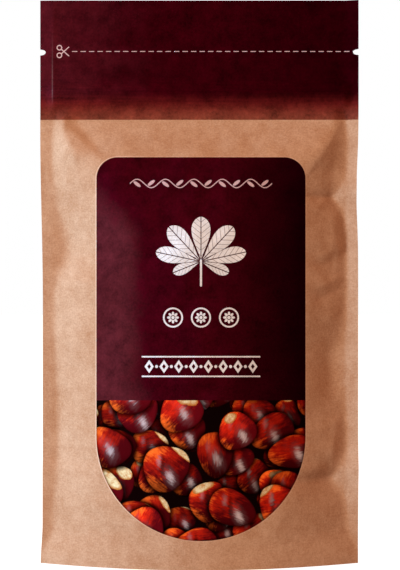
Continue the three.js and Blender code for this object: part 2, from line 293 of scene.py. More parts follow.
@dataclass(frozen=True)
class PouchForm:
    """The pouch's form, as distances from its middle plane. Its main sizes are the model's own."""

    height: float = 281.0
    half_width: float = 79.5
    left_taper: float = 1.3
    base_flare: float = 0.9
    right_waist: float = 0.9
    waist_height: float = 185.0
    right_taper: float = 0.2
    seal_width: float = 6.2
    sheet: float = 0.6
    gap: float = 0.35
    rim_depth: float = 20.0
    belly_depth: float = 25.5
    rim_power: float = 1.85
    belly_power: float = 2.1
    shoulder_crown: float = 0.3
    shoulder_round: float = 1.6
    left_curl: float = 0.3
    right_curl: float = -1.7
    puckers: tuple[Pucker, ...] = (Pucker(187.0, 7.0, 65.8, 7.0, 1.9), Pucker(49.0, 8.0, 65.4, 7.5, 1.5))
    fold_height: float = 43.0
    floor_seal: float = 4.0
    weld_gap: float = 0.02
    head_seal_height: float = 265.0
    zip_height: float = 233.0
    zip_half_length: float = 71.5
    zip_depth: float = 2.2
    notch_height: float = 255.1
    notch_depth: float = 2.7
    notch_half_height: float = 1.6
    shoulder: tuple[tuple[float, float], ...] = (
        (120, 34), (150, 27), (168, 22.8), (181, 20), (193, 16.8), (202, 13.4), (208, 9.6),
        (213, 6), (218, 2.8), (223, 1.1), (246, 0.4), (264, 0),
    )

    def left_edge(self, z: Array) -> Array:
        """Gives x of the left edge at heights z, without its notch."""
        tapered = self.left_taper * (1 - smooth(z, 130, 215))
        return -self.half_width + tapered - self.base_flare * (1 - smooth(z, 0, 20))

    def right_edge(self, z: Array) -> Array:
        """Gives x of the right edge at heights z, without its notch."""
        drawn_in = self.right_waist * np.exp(-(((z - self.waist_height) / 18) ** 2))
        return self.half_width - drawn_in - self.right_taper * (1 - smooth(z, 190, 230))

    def notch(self, z: Array) -> Array:
        """Gives how deep the tear notches are at heights z."""
        share = 1 - ((z - self.notch_height) / self.notch_half_height) ** 2
        return self.notch_depth * np.sqrt(np.maximum(0, share))

    def inner_edge(self, z: Array, side: Side, face: Face) -> Array:
        """Gives how far out the filled part reaches.

        Args:
            z: Heights.
            side: The side seal that it reaches towards.
            face: The side of the pouch.

        Returns:
            Distances from the middle.
        """
        edge = -self.left_edge(z) if side is Side.LEFT else self.right_edge(z)
        dents = face.left_dents if side is Side.LEFT else face.right_dents
        taken = sum((dent.taken(z) for dent in dents), np.zeros_like(z))
        return edge - self.seal_width * smooth(z, 2, 19) - taken * smooth(z, 20, 42)

    def seal_depth(self, z: Array) -> Array:
        """Gives the half depth of the sealed layers: four sheets below the gusset's fold, and two above."""
        lower = 1 - smooth(z, self.fold_height + 3, self.fold_height + 10)
        return self.sheet + self.gap / 2 + (self.sheet + self.gap) * lower

    def zip_rise(self, x: Array, z: Array) -> Array:
        """Gives the extra half depth over the closed zip.

        Args:
            x: Places across the sheet.
            z: Heights.

        Returns:
            Distances to add to the seal's half depth.
        """
        upright = 1 - smooth(np.abs(z - self.zip_height), 3.6, 7.5)
        along = 1 - smooth(np.abs(x), self.zip_half_length + 0.6, 77)
        return (self.zip_depth - self.seal_depth(z)) * upright * along

    def fullness(self, x: Array, z: Array, face: Face) -> tuple[Array, Array]:
        """Gives the share of the way out to the filled part's edge, and the belly's share of its depth.

        Args:
            x: Places across the sheet.
            z: Heights.
            face: The side of the pouch.

        Returns:
            Shares of the way out, 1 at the edge, and of the depth, 0 at the edge.
        """
        inner = np.where(x < 0, self.inner_edge(z, Side.LEFT, face), self.inner_edge(z, Side.RIGHT, face))
        across = np.abs(x) / inner
        power = self.rim_power + (self.belly_power - self.rim_power) * smooth(z, 0, 30)
        return across, 1 - across**power

    def depth(self, x: Array, z: Array, face: Face) -> Array:
        """Gives the distance from the middle plane to a panel's outer face.

        Args:
            x: Places across the sheet.
            z: Heights.
            face: The side of the pouch.

        Returns:
            Distances, always positive.
        """
        across, full = self.fullness(x, z, face)
        belly = (self.rim_depth + (self.belly_depth - self.rim_depth) * smooth(z, 0, 70)) * full
        shoulder = through(self.shoulder, z) * (1 - self.shoulder_crown * across**2)
        apart = np.abs(belly - shoulder) / self.shoulder_round
        rounding = self.shoulder_round * np.log1p(np.exp(-apart))
        held = np.clip(full * 6, 0, 1)
        folds = sum((fold.raised(x, z) for fold in face.folds + face.creases), np.zeros_like(x))
        softness = np.where(x < 0, through(face.left_softness, z), through(face.right_softness, z))
        filled = np.minimum(belly, shoulder) - rounding + folds * held
        bulge = softness * np.logaddexp(0, filled / softness)
        free = 1 - smooth(np.abs(x), self.half_width - 4.5, self.half_width - 1.5)
        creases = sum((fold.raised(x, z) for fold in face.seal_creases), np.zeros_like(x))
        return self.seal_depth(z) + np.maximum(bulge, self.zip_rise(x, z)) + creases * free

    def curl(self, x: Array, z: Array) -> Array:
        """Gives how far the sheets lie behind the middle plane along the side seals.

        Args:
            x: Places across the sheet.
            z: Heights.

        Returns:
            Distances, below 0 in front of the middle plane.
        """
        out = np.clip((np.abs(x) - self.half_width + self.seal_width) / self.seal_width, 0, 1)
        curled = np.where(x < 0, self.left_curl, self.right_curl) * out * smooth(z, 12, 45)
        return curled - sum(pucker.drawn(x, z) for pucker in self.puckers)


@dataclass(frozen=True)
class Ripples:
    """Soft unevenness of a sheet: waves of many directions, added up."""

    seed: int
    height: float
    shortest: float
    longest: float
    count: int = 24

    def raised(self, x: Array, z: Array) -> Array:
        """Gives the height at points of the sheet.

        Args:
            x: Places across the sheet.
            z: Heights.

        Returns:
            Heights, as often below 0 as above.
        """
        random = np.random.default_rng(self.seed)
        total = np.zeros_like(x)
        for _ in range(self.count):
            turn, phase = random.uniform(0, 2 * math.pi, 2)
            wave = 2 * math.pi / random.uniform(self.shortest, self.longest)
            total += np.sin(wave * (x * math.cos(turn) + z * math.sin(turn)) + phase)
        return self.height * total / math.sqrt(self.count / 2)


class SheetMesh:
    """Makes closed meshes of thin sheets from two grids of points."""

    def __init__(self, name: str) -> None:
        """Keeps the name that the finished object gets."""
        self.name = name

    def between(self, outer: Array, inner: Array, flat: Array | None = None) -> bpy.types.Object:
        """Joins an outer and an inner grid round their edges.

        Args:
            outer: Points in millimetres, as columns by rows by 3. Column and row turn outwards.
            inner: The same for the inner face.
            flat: Places on the flat sheet, as columns by rows by 2, for the UV map.

        Returns:
            The object, in metres, linked to the scene.
        """
        columns, rows, _ = outer.shape
        at = np.arange(columns * rows).reshape(columns, rows)
        low, high = at[:-1, :-1], at[1:, 1:]
        right, up = at[1:, :-1], at[:-1, 1:]
        face = np.stack([low, right, high, up], -1).reshape(-1, 4)
        back = np.stack([low, up, high, right], -1).reshape(-1, 4) + columns * rows
        loop = np.concatenate([at[:-1, 0], at[-1, :-1], at[:0:-1, -1], at[0, :0:-1]])
        after = np.roll(loop, -1)
        rim = np.stack([loop, loop + columns * rows, after + columns * rows, after], -1)
        mesh = bpy.data.meshes.new(self.name)
        points = np.concatenate([outer.reshape(-1, 3), inner.reshape(-1, 3)]) * MM
        mesh.from_pydata(points.tolist(), [], np.concatenate([face, back, rim]).tolist())
        mesh.polygons.foreach_set("use_smooth", np.ones(len(mesh.polygons), bool))
        mesh.set_sharp_from_angle(angle=math.radians(50))
        if flat is not None:
            self.add_flat_map(mesh, np.concatenate([flat.reshape(-1, 2)] * 2))
        mesh.update()
        piece = bpy.data.objects.new(self.name, mesh)
        bpy.context.scene.collection.objects.link(piece)
        return piece

    def add_flat_map(self, mesh: bpy.types.Mesh, flat: Array) -> None:
        """Writes places on the flat sheet to the mesh's UV map.

        Args:
            mesh: The mesh.
            flat: A place on the flat sheet for each of its points.
        """
        corners = np.zeros(len(mesh.loops), int)
        mesh.loops.foreach_get("vertex_index", corners)
        layer = mesh.uv_layers.new(name="sheet")
        layer.data.foreach_set("uv", (flat[corners] / SHEET_SPAN + (0.5, 0)).astype(np.float32).ravel())


class Field:
    """A number that varies over a surface: one socket of a material's nodes, with arithmetic."""

    def __init__(self, page: "Page", socket: bpy.types.NodeSocket) -> None:
        """Keeps the page that the socket's node is on."""
        self.page = page
        self.socket = socket

    def __add__(self, other: "Field | float") -> "Field":
        """Adds."""
        return self.page.number("ADD", self, other)

    def __sub__(self, other: "Field | float") -> "Field":
        """Subtracts."""
        return self.page.number("SUBTRACT", self, other)

    def __rsub__(self, other: float) -> "Field":
        """Subtracts from a number."""
        return self.page.number("SUBTRACT", other, self)

    def __mul__(self, other: "Field | float") -> "Field":
        """Multiplies."""
        return self.page.number("MULTIPLY", self, other)

    def __truediv__(self, other: "Field | float") -> "Field":
        """Divides."""
        return self.page.number("DIVIDE", self, other)

    def __pow__(self, other: float) -> "Field":
        """Raises to a power."""
        return self.page.number("POWER", self, other)

    __radd__ = __add__
    __rmul__ = __mul__

    def size(self) -> "Field":
        """Drops the sign."""
        return self.page.number("ABSOLUTE", self)

    def root(self) -> "Field":
        """Takes the square root."""
        return self.page.number("SQRT", self)

    def sine(self) -> "Field":
        """Takes the sine."""
        return self.page.number("SINE", self)

    def angle(self, across: "Field") -> "Field":
        """Takes the angle of a direction, given how far it goes up and across."""
        return self.page.number("ARCTAN2", self, across)

    def cosine(self) -> "Field":
        """Takes the cosine."""
        return self.page.number("COSINE", self)

    def whole(self) -> "Field":
        """Rounds down."""
        return self.page.number("FLOOR", self)

    def part(self) -> "Field":
        """Keeps what is left after rounding down."""
        return self.page.number("FRACT", self)

    def least(self, other: "Field | float") -> "Field":
        """Takes the smaller of two."""
        return self.page.number("MINIMUM", self, other)

    def most(self, other: "Field | float") -> "Field":
        """Takes the larger of two."""
        return self.page.number("MAXIMUM", self, other)

    def step(self, low: float, high: float) -> "Field":
        """Rises smoothly from 0 at low to 1 at high, or falls if low is the larger."""
        return self.page.map_range(self, low, high)


class Page:
    """A material's node tree, to draw on."""

    def __init__(self, name: str) -> None:
        """Starts a material with one Principled shader.

        Args:
            name: The material's name.
        """
        self.material = bpy.data.materials.new(name)
        self.material.use_nodes = True
        self.nodes = self.material.node_tree.nodes
        self.links = self.material.node_tree.links
        self.shader = next(node for node in self.nodes if node.type == "BSDF_PRINCIPLED")

    def put(self, socket: bpy.types.NodeSocket, value: "Field | float | Sequence[float]") -> None:
        """Links a field to an input, or sets a constant there.

        Args:
            socket: The input.
            value: A field to link, or a constant.
        """
        if isinstance(value, Field):
            self.links.new(value.socket, socket)
        else:
            socket.default_value = value

    def number(self, operation: str, first: "Field | float", second: "Field | float" = 0.0) -> Field:
        """Adds a Math node.

        Args:
            operation: The node's operation.
            first: Its first input.
            second: Its second input, where it has one.

        Returns:
            The result.
        """
        node = self.nodes.new("ShaderNodeMath")
        node.operation = operation
        self.put(node.inputs[0], first)
        self.put(node.inputs[1], second)
        return Field(self, node.outputs[0])

    def map_range(self, value: Field, low: float, high: float) -> Field:
        """Adds a smooth Map Range node from low and high to 0 and 1.

        Args:
            value: What to read.
            low: Its value at 0.
            high: Its value at 1.

        Returns:
            A number from 0 to 1.
        """
        node = self.nodes.new("ShaderNodeMapRange")
        node.interpolation_type = "SMOOTHSTEP"
        self.put(node.inputs[0], value)
        node.inputs[1].default_value = low
        node.inputs[2].default_value = high
        return Field(self, node.outputs[0])

    def vector(self, x: "Field | float", y: "Field | float", z: "Field | float" = 0.0) -> Field:
        """Joins three numbers.

        Args:
            x: The first.
            y: The second.
            z: The third.

        Returns:
            The vector.
        """
        node = self.nodes.new("ShaderNodeCombineXYZ")
        for socket, value in zip(node.inputs, (x, y, z)):
            self.put(socket, value)
        return Field(self, node.outputs[0])

    def split(self, vector: Field) -> tuple[Field, Field, Field]:
        """Takes a vector or colour apart.

        Args:
            vector: What to take apart.

        Returns:
            Its three numbers.
        """
        node = self.nodes.new("ShaderNodeSeparateXYZ")
        self.links.new(vector.socket, node.inputs[0])
        return Field(self, node.outputs[0]), Field(self, node.outputs[1]), Field(self, node.outputs[2])

    def dot(self, first: Field, second: "Field | Sequence[float]") -> Field:
        """Takes two vectors' dot product.

        Args:
            first: A vector field.
            second: Another, or a constant one.

        Returns:
            The product.
        """
        node = self.nodes.new("ShaderNodeVectorMath")
        node.operation = "DOT_PRODUCT"
        self.put(node.inputs[0], first)
        self.put(node.inputs[1], second)
        return Field(self, node.outputs["Value"])

    def unit(self, vector: Field) -> Field:
        """Scales a vector to length 1.

        Args:
            vector: What to scale.

        Returns:
            The vector at length 1.
        """
        node = self.nodes.new("ShaderNodeVectorMath")
        node.operation = "NORMALIZE"
        self.links.new(vector.socket, node.inputs[0])
        return Field(self, node.outputs["Vector"])

    def object_place(self) -> Field:
        """Gives the place on the object, in millimetres.

        Returns:
            A vector field.
        """
        coordinate = self.nodes.new("ShaderNodeTexCoord")
        node = self.nodes.new("ShaderNodeVectorMath")
        node.operation = "SCALE"
        self.links.new(coordinate.outputs["Object"], node.inputs[0])
        node.inputs["Scale"].default_value = 1 / MM
        return Field(self, node.outputs["Vector"])

    def sheet_place(self) -> tuple[Field, Field]:
        """Gives the place on the flat sheet, in millimetres across and up.

        Returns:
            Places across, 0 at the sheet's middle, and up, 0 at its foot.
        """
        node = self.nodes.new("ShaderNodeUVMap")
        node.uv_map = "sheet"
        u, v, _ = self.split(Field(self, node.outputs[0]))
        return (u - 0.5) * SHEET_SPAN, v * SHEET_SPAN

    def attribute(self, name: str) -> Field:
        """Gives a number stored on the mesh.

        Args:
            name: The attribute's name.

        Returns:
            Its value.
        """
        node = self.nodes.new("ShaderNodeAttribute")
        node.attribute_name = name
        return Field(self, node.outputs["Fac"])

    def noise(self, place: Field, per_mm: float, detail: float = 2.0, roughness: float = 0.5) -> Field:
        """Gives soft noise from 0 to 1, with about per_mm lumps a millimetre.

        Args:
            place: Where to read it.
            per_mm: How fine it is.
            detail: How many finer layers it has.
            roughness: How strong the finer layers are.

        Returns:
            A number from 0 to 1.
        """
        node = self.nodes.new("ShaderNodeTexNoise")
        self.links.new(place.socket, node.inputs["Vector"])
        node.inputs["Scale"].default_value = per_mm
        node.inputs["Detail"].default_value = detail
        node.inputs["Roughness"].default_value = roughness
        return Field(self, node.outputs["Fac"])

    def stretched(self, place: Field, scale: Sequence[float]) -> Field:
        """Scales a place differently along each axis.

        Args:
            place: The place.
            scale: A factor for each axis.

        Returns:
            The scaled place.
        """
        node = self.nodes.new("ShaderNodeVectorMath")
        node.operation = "MULTIPLY"
        self.links.new(place.socket, node.inputs[0])
        node.inputs[1].default_value = scale
        return Field(self, node.outputs["Vector"])

    def random(self, cell: Field) -> tuple[Field, Field, Field]:
        """Gives three random numbers from 0 to 1 for each whole-numbered cell.

        Args:
            cell: The cell, as a vector.

        Returns:
            The three numbers.
        """
        node = self.nodes.new("ShaderNodeTexWhiteNoise")
        self.links.new(cell.socket, node.inputs["Vector"])
        return self.split(Field(self, node.outputs["Color"]))

    def mix(self, share: "Field | float", first: "Field | Colour", second: "Field | Colour") -> Field:
        """Blends from a first colour to a second.

        Args:
            share: 0 for the first, 1 for the second.
            first: A colour.
            second: Another.

        Returns:
            The blend.
        """
        node = self.nodes.new("ShaderNodeMix")
        node.data_type = "RGBA"
        sockets = {socket.identifier: socket for socket in node.inputs}
        self.put(sockets["Factor_Float"], share)
        for name, colour in (("A_Color", first), ("B_Color", second)):
            self.put(sockets[name], colour if isinstance(colour, Field) else srgb(colour))
        result = next(socket for socket in node.outputs if socket.identifier == "Result_Color")
        return Field(self, result)

    def shaded(self, colour: Field, by: Field) -> Field:
        """Multiplies a colour by a number.

        Args:
            colour: The colour.
            by: The number.

        Returns:
            The darker or brighter colour.
        """
        node = self.nodes.new("ShaderNodeVectorMath")
        node.operation = "SCALE"
        self.links.new(colour.socket, node.inputs[0])
        self.links.new(by.socket, node.inputs["Scale"])
        return Field(self, node.outputs["Vector"])

    def bump(self, height: Field, distance_mm: float) -> None:
        """Raises the surface's shading by a height from 0 to 1.

        Args:
            height: The height.
            distance_mm: How far up a height of 1 is.
        """
        node = self.nodes.new("ShaderNodeBump")
        node.inputs["Distance"].default_value = distance_mm * MM
        self.links.new(height.socket, node.inputs["Height"])
        self.links.new(node.outputs["Normal"], self.shader.inputs["Normal"])

    def finish(self, colour: Field, roughness: "Field | float", specular: float) -> bpy.types.Material:
        """Connects the shader.

        Args:
            colour: The surface's colour.
            roughness: Its roughness.
            specular: How strongly it mirrors, 0.5 for plain plastic.

        Returns:
            The material.
        """
        self.links.new(colour.socket, self.shader.inputs["Base Color"])
        self.put(self.shader.inputs["Roughness"], roughness)
        self.shader.inputs["Specular IOR Level"].default_value = specular
        return self.material


@dataclass(frozen=True)
class KraftFinish:
    """Unbleached kraft paper: mottled brown, with fine dark flecks of fibre and a faint tooth."""

    pale: Colour = (222, 180, 150)
    deep: Colour = (176, 122, 86)
    fleck: Colour = (128, 84, 56)
    roughness: float = 0.85
    specular: float = 0.0
    tooth_height: float = 0.22

    def colour(self, page: Page, place: Field) -> Field:
        """Draws the paper's colour.

        Args:
            page: The material's nodes.
            place: Place on the object, in millimetres.

        Returns:
            The colour.
        """
        cloud = page.noise(place, 0.05, 3, 0.6)
        blotch = page.noise(place, 0.17, 3, 0.6)
        grain = page.noise(place, 1.2, 4, 0.7)
        fibres = page.noise(page.stretched(place, (0.5, 0.5, 2.4)), 0.9, 3, 0.6)
        tone = cloud * 0.5 + blotch * 0.5 + grain * 1.0 + fibres * 0.4 - 0.70
        paper = page.mix(tone.step(-0.05, 1.05), self.deep, self.pale)
        speck = page.noise(place, 1.15, 2, 0.4).step(0.68, 0.76) * 0.34
        fine = page.noise(page.stretched(place, (1.0, 1.0, 0.45)), 2.1, 1).step(0.68, 0.78) * 0.3
        return page.mix(speck.most(fine), paper, self.fleck)

    def tooth(self, page: Page, place: Field) -> Field:
        """Draws the height of the paper's tooth."""
        return page.noise(place, 1.1, 4, 0.7) * 0.45 + page.noise(place, 0.16, 3, 0.6) * 0.55

    def make(self, name: str) -> bpy.types.Material:
        """Makes bare kraft.

        Args:
            name: The material's name.

        Returns:
            The material.
        """
        page = Page(name)
        place = page.object_place()
        page.bump(self.tooth(page, place), self.tooth_height)
        return page.finish(self.colour(page, place), self.roughness, self.specular)


@dataclass(frozen=True)
class Band:
    """The printed band round the pouch's head, with a dashed tear line."""

    lower_edge: float = 221.3
    fade_top: float = 236.5
    fade_bottom: float = 218.5
    # Painted light and shade: the ink is paler at the left, where the light falls, and darkest in the shade
    # at the right.
    ink_painted_light_left: Colour = (84, 22, 32)
    ink: Colour = (53, 1, 10)
    ink_painted_shade_right: Colour = (42, 0, 6)
    rubbed: Colour = (104, 28, 27)
    worn: Colour = (133, 68, 52)
    tear_height: float = 255.5
    tear_start: float = -63.6
    tear_end: float = 77.0
    dash: float = 2.65
    period: float = 4.25
    thickness: float = 0.32
    seal_line: float = -73.4
    mark: Colour = (232, 200, 206)

    def mask(self, page: Page, v: Field) -> Field:
        """Covers the band."""
        return (v - self.lower_edge).step(-0.12, 0.12)

    def colour(self, page: Page, u: Field, v: Field, place: Field) -> Field:
        """Draws the ink, thinner towards the band's lower edge. Painted light makes it paler at the left,
        painted shade makes it darker at the right, and a faint painted highlight runs along the left seal's
        inner line.

        Args:
            page: The material's nodes.
            u: Places across the sheet.
            v: Places up the sheet.
            place: Place on the object, in millimetres.

        Returns:
            The colour.
        """
        cloud = page.noise(place, 0.055, 4, 0.62)
        across = u + (cloud - 0.5) * 70.0
        # Painted light and shade: paler ink to the left and darker ink to the right, with cloudy edges.
        base = page.mix(across.step(-95.0, -12.0), self.ink_painted_light_left, self.ink)
        base = page.mix(across.step(0.0, 62.0), base, self.ink_painted_shade_right)
        height = v + (page.noise(place, 0.25, 3, 0.6) - 0.5) * 3.0
        middle = (self.fade_top + self.fade_bottom) / 2
        # Painted highlight: a faint pale line down the left side seal's inner edge, where its crease
        # catches the light.
        crease = (u - self.seal_line).size().step(0.5, 0.1) * v.step(224.0, 236.0) * v.step(268.0, 240.0)
        base = page.mix(crease * 0.08, base, self.mark)
        rubbed = page.mix(height.step(self.fade_top, middle - 1.0) ** 1.3, base, self.rubbed)
        return page.mix(height.step(middle + 3.0, self.fade_bottom), rubbed, self.worn)

    def dashes(self, page: Page, u: Field, v: Field) -> Field:
        """Covers the dashes of the tear line.

        Args:
            page: Not used.
            u: Places across the sheet.
            v: Places up the sheet.

        Returns:
            The dashes' cover.
        """
        phase = ((u - self.tear_start) * (1 / self.period)).part() * self.period
        inside = (phase - self.dash / 2).size().step(self.dash / 2 + 0.1, self.dash / 2 - 0.1)
        line = (v - self.tear_height).size().step(self.thickness / 2 + 0.12, self.thickness / 2 - 0.12)
        middle = (self.tear_start + self.tear_end) / 2
        length = (self.tear_end - self.tear_start) / 2
        return inside * line * (u - middle).size().step(length + 0.1, length - 0.1)


class Pen:
    """Draws plain marks on a sheet, as fields from 0 to 1."""

    def __init__(self, page: Page, u: Field, v: Field, softness: float = 0.11) -> None:
        """Keeps the sheet's places and how soft an ink edge is.

        Args:
            page: The material's nodes.
            u: Places across the sheet.
            v: Places up the sheet.
            softness: Half the width of an ink edge.
        """
        self.page = page
        self.u = u
        self.v = v
        self.softness = softness

    def fill(self, distance: Field) -> Field:
        """Covers where a distance is below 0."""
        return distance.step(self.softness, -self.softness)

    def from_point(self, x: float, y: float) -> Field:
        """Gives the distance to a point."""
        across, up = self.u - x, self.v - y
        return (across * across + up * up).root()

    def ring(self, x: float, y: float, radius: float, thickness: float) -> Field:
        """Draws a ring."""
        return self.fill((self.from_point(x, y) - radius).size() - thickness / 2)

    def stroke(self, start: tuple[float, float], end: tuple[float, float], thickness: float) -> Field:
        """Draws a straight line with round ends.

        Args:
            start: One end.
            end: The other end.
            thickness: The line's thickness.

        Returns:
            The line's cover.
        """
        run_x, run_y = end[0] - start[0], end[1] - start[1]
        length = math.hypot(run_x, run_y)
        across, up = self.u - start[0], self.v - start[1]
        along = ((across * run_x + up * run_y) / length**2).most(0.0).least(1.0)
        off_x, off_y = across - along * run_x, up - along * run_y
        return self.fill((off_x * off_x + off_y * off_y).root() - thickness / 2)

    def leaflet(self, foot: tuple[float, float], angle: float, length: float, width: float) -> Field:
        """Draws one leaflet with a bare midrib, widest near its pointed tip.

        Args:
            foot: Where it springs from.
            angle: Its lean from upright, in degrees, to the right.
            length: Its length.
            width: Its greatest width.

        Returns:
            The leaflet's cover.
        """
        lean = math.radians(angle)
        across, up = self.u - foot[0], self.v - foot[1]
        along = (across * math.sin(lean) + up * math.cos(lean)) / length
        off = (across * math.cos(lean) - up * math.sin(lean)).size()
        inside = along.most(0.0).least(1.0)
        half = (inside**1.5) * ((1 - inside).most(0.0001) ** 0.62) * (width * 1.55)
        veins = ((along * 8 - off * (3.2 / width)).part() - 0.5).size().step(0.38, 0.46) * 0.5
        blade = self.fill(off - half) * off.step(0.12, 0.34) * along.step(0.03, 0.06)
        return blade * (1 - veins)

    def leaf(self, foot: tuple[float, float]) -> Field:
        """Draws a horse-chestnut leaf: seven broad leaflets spread from one stalk.

        Args:
            foot: Where the leaflets spring from.

        Returns:
            The leaf's cover.
        """
        half = Pen(self.page, (self.u - foot[0]).size(), self.v - foot[1], self.softness)
        leaflets = ((0, 22.4, 11.0), (43, 23.6, 10.8), (78, 23.0, 9.2), (112, 15.0, 6.4))
        cover = half.stroke((0.0, -12.0), (0.0, 0.6), 1.0)
        for angle, length, width in leaflets:
            cover = cover.most(half.leaflet((0.0, 0.0), angle, length, width))
        return cover

    def rosette(self, x: float, y: float, radius: float) -> Field:
        """Draws an eight-petalled rosette in a ring.

        Args:
            x: Its middle, across.
            y: Its middle, up.
            radius: The ring's radius.

        Returns:
            The rosette's cover.
        """
        across, up = self.u - x, self.v - y
        distance = (across * across + up * up).root()
        petals = (up.angle(across) * 4.0).cosine().size()
        flower = self.fill(distance - (petals**0.6 * 0.44 + 0.2) * radius)
        eye = self.fill(distance - radius * 0.13)
        flower = flower * (1 - self.ring(x, y, radius * 0.22, 0.4))
        return flower.most(eye).most(self.ring(x, y, radius, 0.8))

    def rosettes(self, middle: float, height: float, spacing: float, radius: float) -> Field:
        """Draws three rosettes in a row."""
        half = Pen(self.page, (self.u - middle).size(), self.v, self.softness)
        return half.rosette(0.0, height, radius).most(half.rosette(spacing, height, radius))

    def vine(self, middle: float, height: float, waves: int, period: float, rise: float) -> Field:
        """Draws a waving stem with a leaf in each bend.

        Args:
            middle: The place of its middle, across.
            height: The place of its middle, up.
            waves: How many bends it has.
            period: The length of two bends.
            rise: How far the stem waves up and down.

        Returns:
            The vine's cover.
        """
        length = waves * period / 4
        across, up = self.u - (middle - length), self.v - height
        turn = across * (2 * math.pi / period)
        slope = turn.cosine() * (2 * math.pi * rise / period)
        stem = self.fill((up - turn.sine() * rise).size() / (slope * slope + 1).root() - 0.24)
        bend = across * (2 / period)
        down = (bend.whole() * 0.5).part() * 4 - 1
        near, above = (bend.part() - 0.5) * (period / 2), (up * down) - 0.15 * rise
        leaf_x, leaf_y = near * 0.8 + above * 0.6, above * 0.8 - near * 0.6
        round_x, round_y = leaf_x / 2.1, leaf_y / 0.8
        leaves = self.fill(((round_x * round_x + round_y * round_y).root() - 1) * 0.8)
        return stem.most(leaves) * (self.u - middle).size().step(length + 0.1, length - 0.1)

    def frieze(self, start: float, units: int, period: float, height: float) -> Field:
        """Draws a row of lozenges and beads between two rules.

        Args:
            start: The place of its left end.
            units: How many lozenges it has.
            period: The length of one lozenge and bead.
            height: The place of its middle, up.

        Returns:
            The frieze's cover.
        """
        half = units * period / 2
        inside = (self.u - start - half).size().step(half + 0.1, half - 0.1)
        up = (self.v - height).size()
        cell = ((self.u - start) * (1 / period)).part()
        near, edge = (cell - 0.5).size() * period, ((cell - 0.5).size() - 0.5).size() * period
        lozenge = self.fill((near * (1 / 2.3) + up * (1 / 3.3) - 1) * 1.9)
        hollow = self.fill((near * (1 / 2.3) + up * (1 / 3.3) - 0.42) * 1.9)
        bead = self.fill((edge * edge + up * up).root() - 0.75)
        bead = bead * (self.u - start - half).size().step(half - 1.0, half - 1.1)
        rules = self.fill((up - 4.9).size() - 0.36)
        return inside * (lozenge * (1 - hollow)).most(bead).most(rules)


@dataclass(frozen=True)
class Label:
    """The printed panel: straight above, a half circle below, maroon over a picture."""

    middle: float = 0.9
    half_width: float = 52.25
    top: float = 202.6
    split: float = 81.1
    corner: float = 10.6
    centre_height: float = 63.0
    # Painted light and shade: a paler ink for the sheen on the left flank, and a near-black ink for the
    # shade at the right.
    ink_painted_sheen_flank: Colour = (82, 27, 34)
    ink: Colour = (62, 3, 16)
    ink_painted_shade_right: Colour = (26, 0, 5)
    edge: Colour = (238, 196, 172)

    def distance(self, pen: Pen) -> Field:
        """Gives the distance outside the label's outline.

        Args:
            pen: The pen to draw with.

        Returns:
            Distances, below 0 inside.
        """
        across = (pen.u - self.middle).size()
        box_x = across - (self.half_width - self.corner)
        box_y = pen.v - (self.top - self.corner)
        out_x, out_y = box_x.most(0.0), box_y.most(0.0)
        upper = (out_x * out_x + out_y * out_y).root() + box_x.most(box_y).least(0.0) - self.corner
        down = (pen.v - self.centre_height).least(0.0)
        lower = (across * across + down * down).root() - self.half_width
        return upper.most(lower)

    def colour(self, pen: Pen, place: Field) -> Field:
        """Draws the maroon with painted light and shade: a painted sheen makes it paler down the left
        flank, and painted shade makes it darkest at the right.

        Args:
            pen: The pen to draw with.
            place: Place on the object, in millimetres.

        Returns:
            The colour.
        """
        cloud = pen.page.noise(place, 0.06, 4, 0.62)
        across = pen.u + (cloud - 0.5) * 34.0
        # Painted sheen: paler ink down the left flank, with its edge leaning left above 164 mm.
        flank = across + (pen.v - 164.0).most(0.0) * 0.9
        ink = pen.page.mix(flank.step(-24.0, -40.0), self.ink, self.ink_painted_sheen_flank)
        return pen.page.mix(across.step(2.0, 56.0), ink, self.ink_painted_shade_right)


@dataclass(frozen=True)
class HeapLayer:
    """One layer of conkers in the printed picture.

    Attributes:
        scale: Size of its grid's cells, as a share of the picture's.
        turn: Turn of its grid, in radians.
        shift: Shift of its grid, in cells.
        left_out: Share of the cells that stay empty.
        light: Share of the light that reaches it.
    """

    scale: float
    turn: float
    shift: tuple[float, float]
    left_out: float
    light: float


@dataclass(frozen=True)
class Conkers:
    """One layer's conkers, as fields over the sheet.

    Attributes:
        chance: Nine random numbers from 0 to 1 for each conker.
        along: Place along its longer axis, 1 at its tip.
        off: Place across that axis, 1 at its side.
        right: Place to the right of its middle, about 1 at its edge.
        up: Place above its middle, about 1 at its edge.
        distance: Distance from its middle, 1 at its edge.
        height: Height over the sheet, 1 at its middle.
        normal: Direction that its skin faces.
        streaks: Streaks of its grain.
        clouds: Soft patches of its skin.
        shown: 1 for a conker, and 0 for a cell that stays empty.
    """

    chance: tuple[Field, ...]
    along: Field
    off: Field
    right: Field
    up: Field
    distance: Field
    height: Field
    normal: Field
    streaks: Field
    clouds: Field
    shown: Field


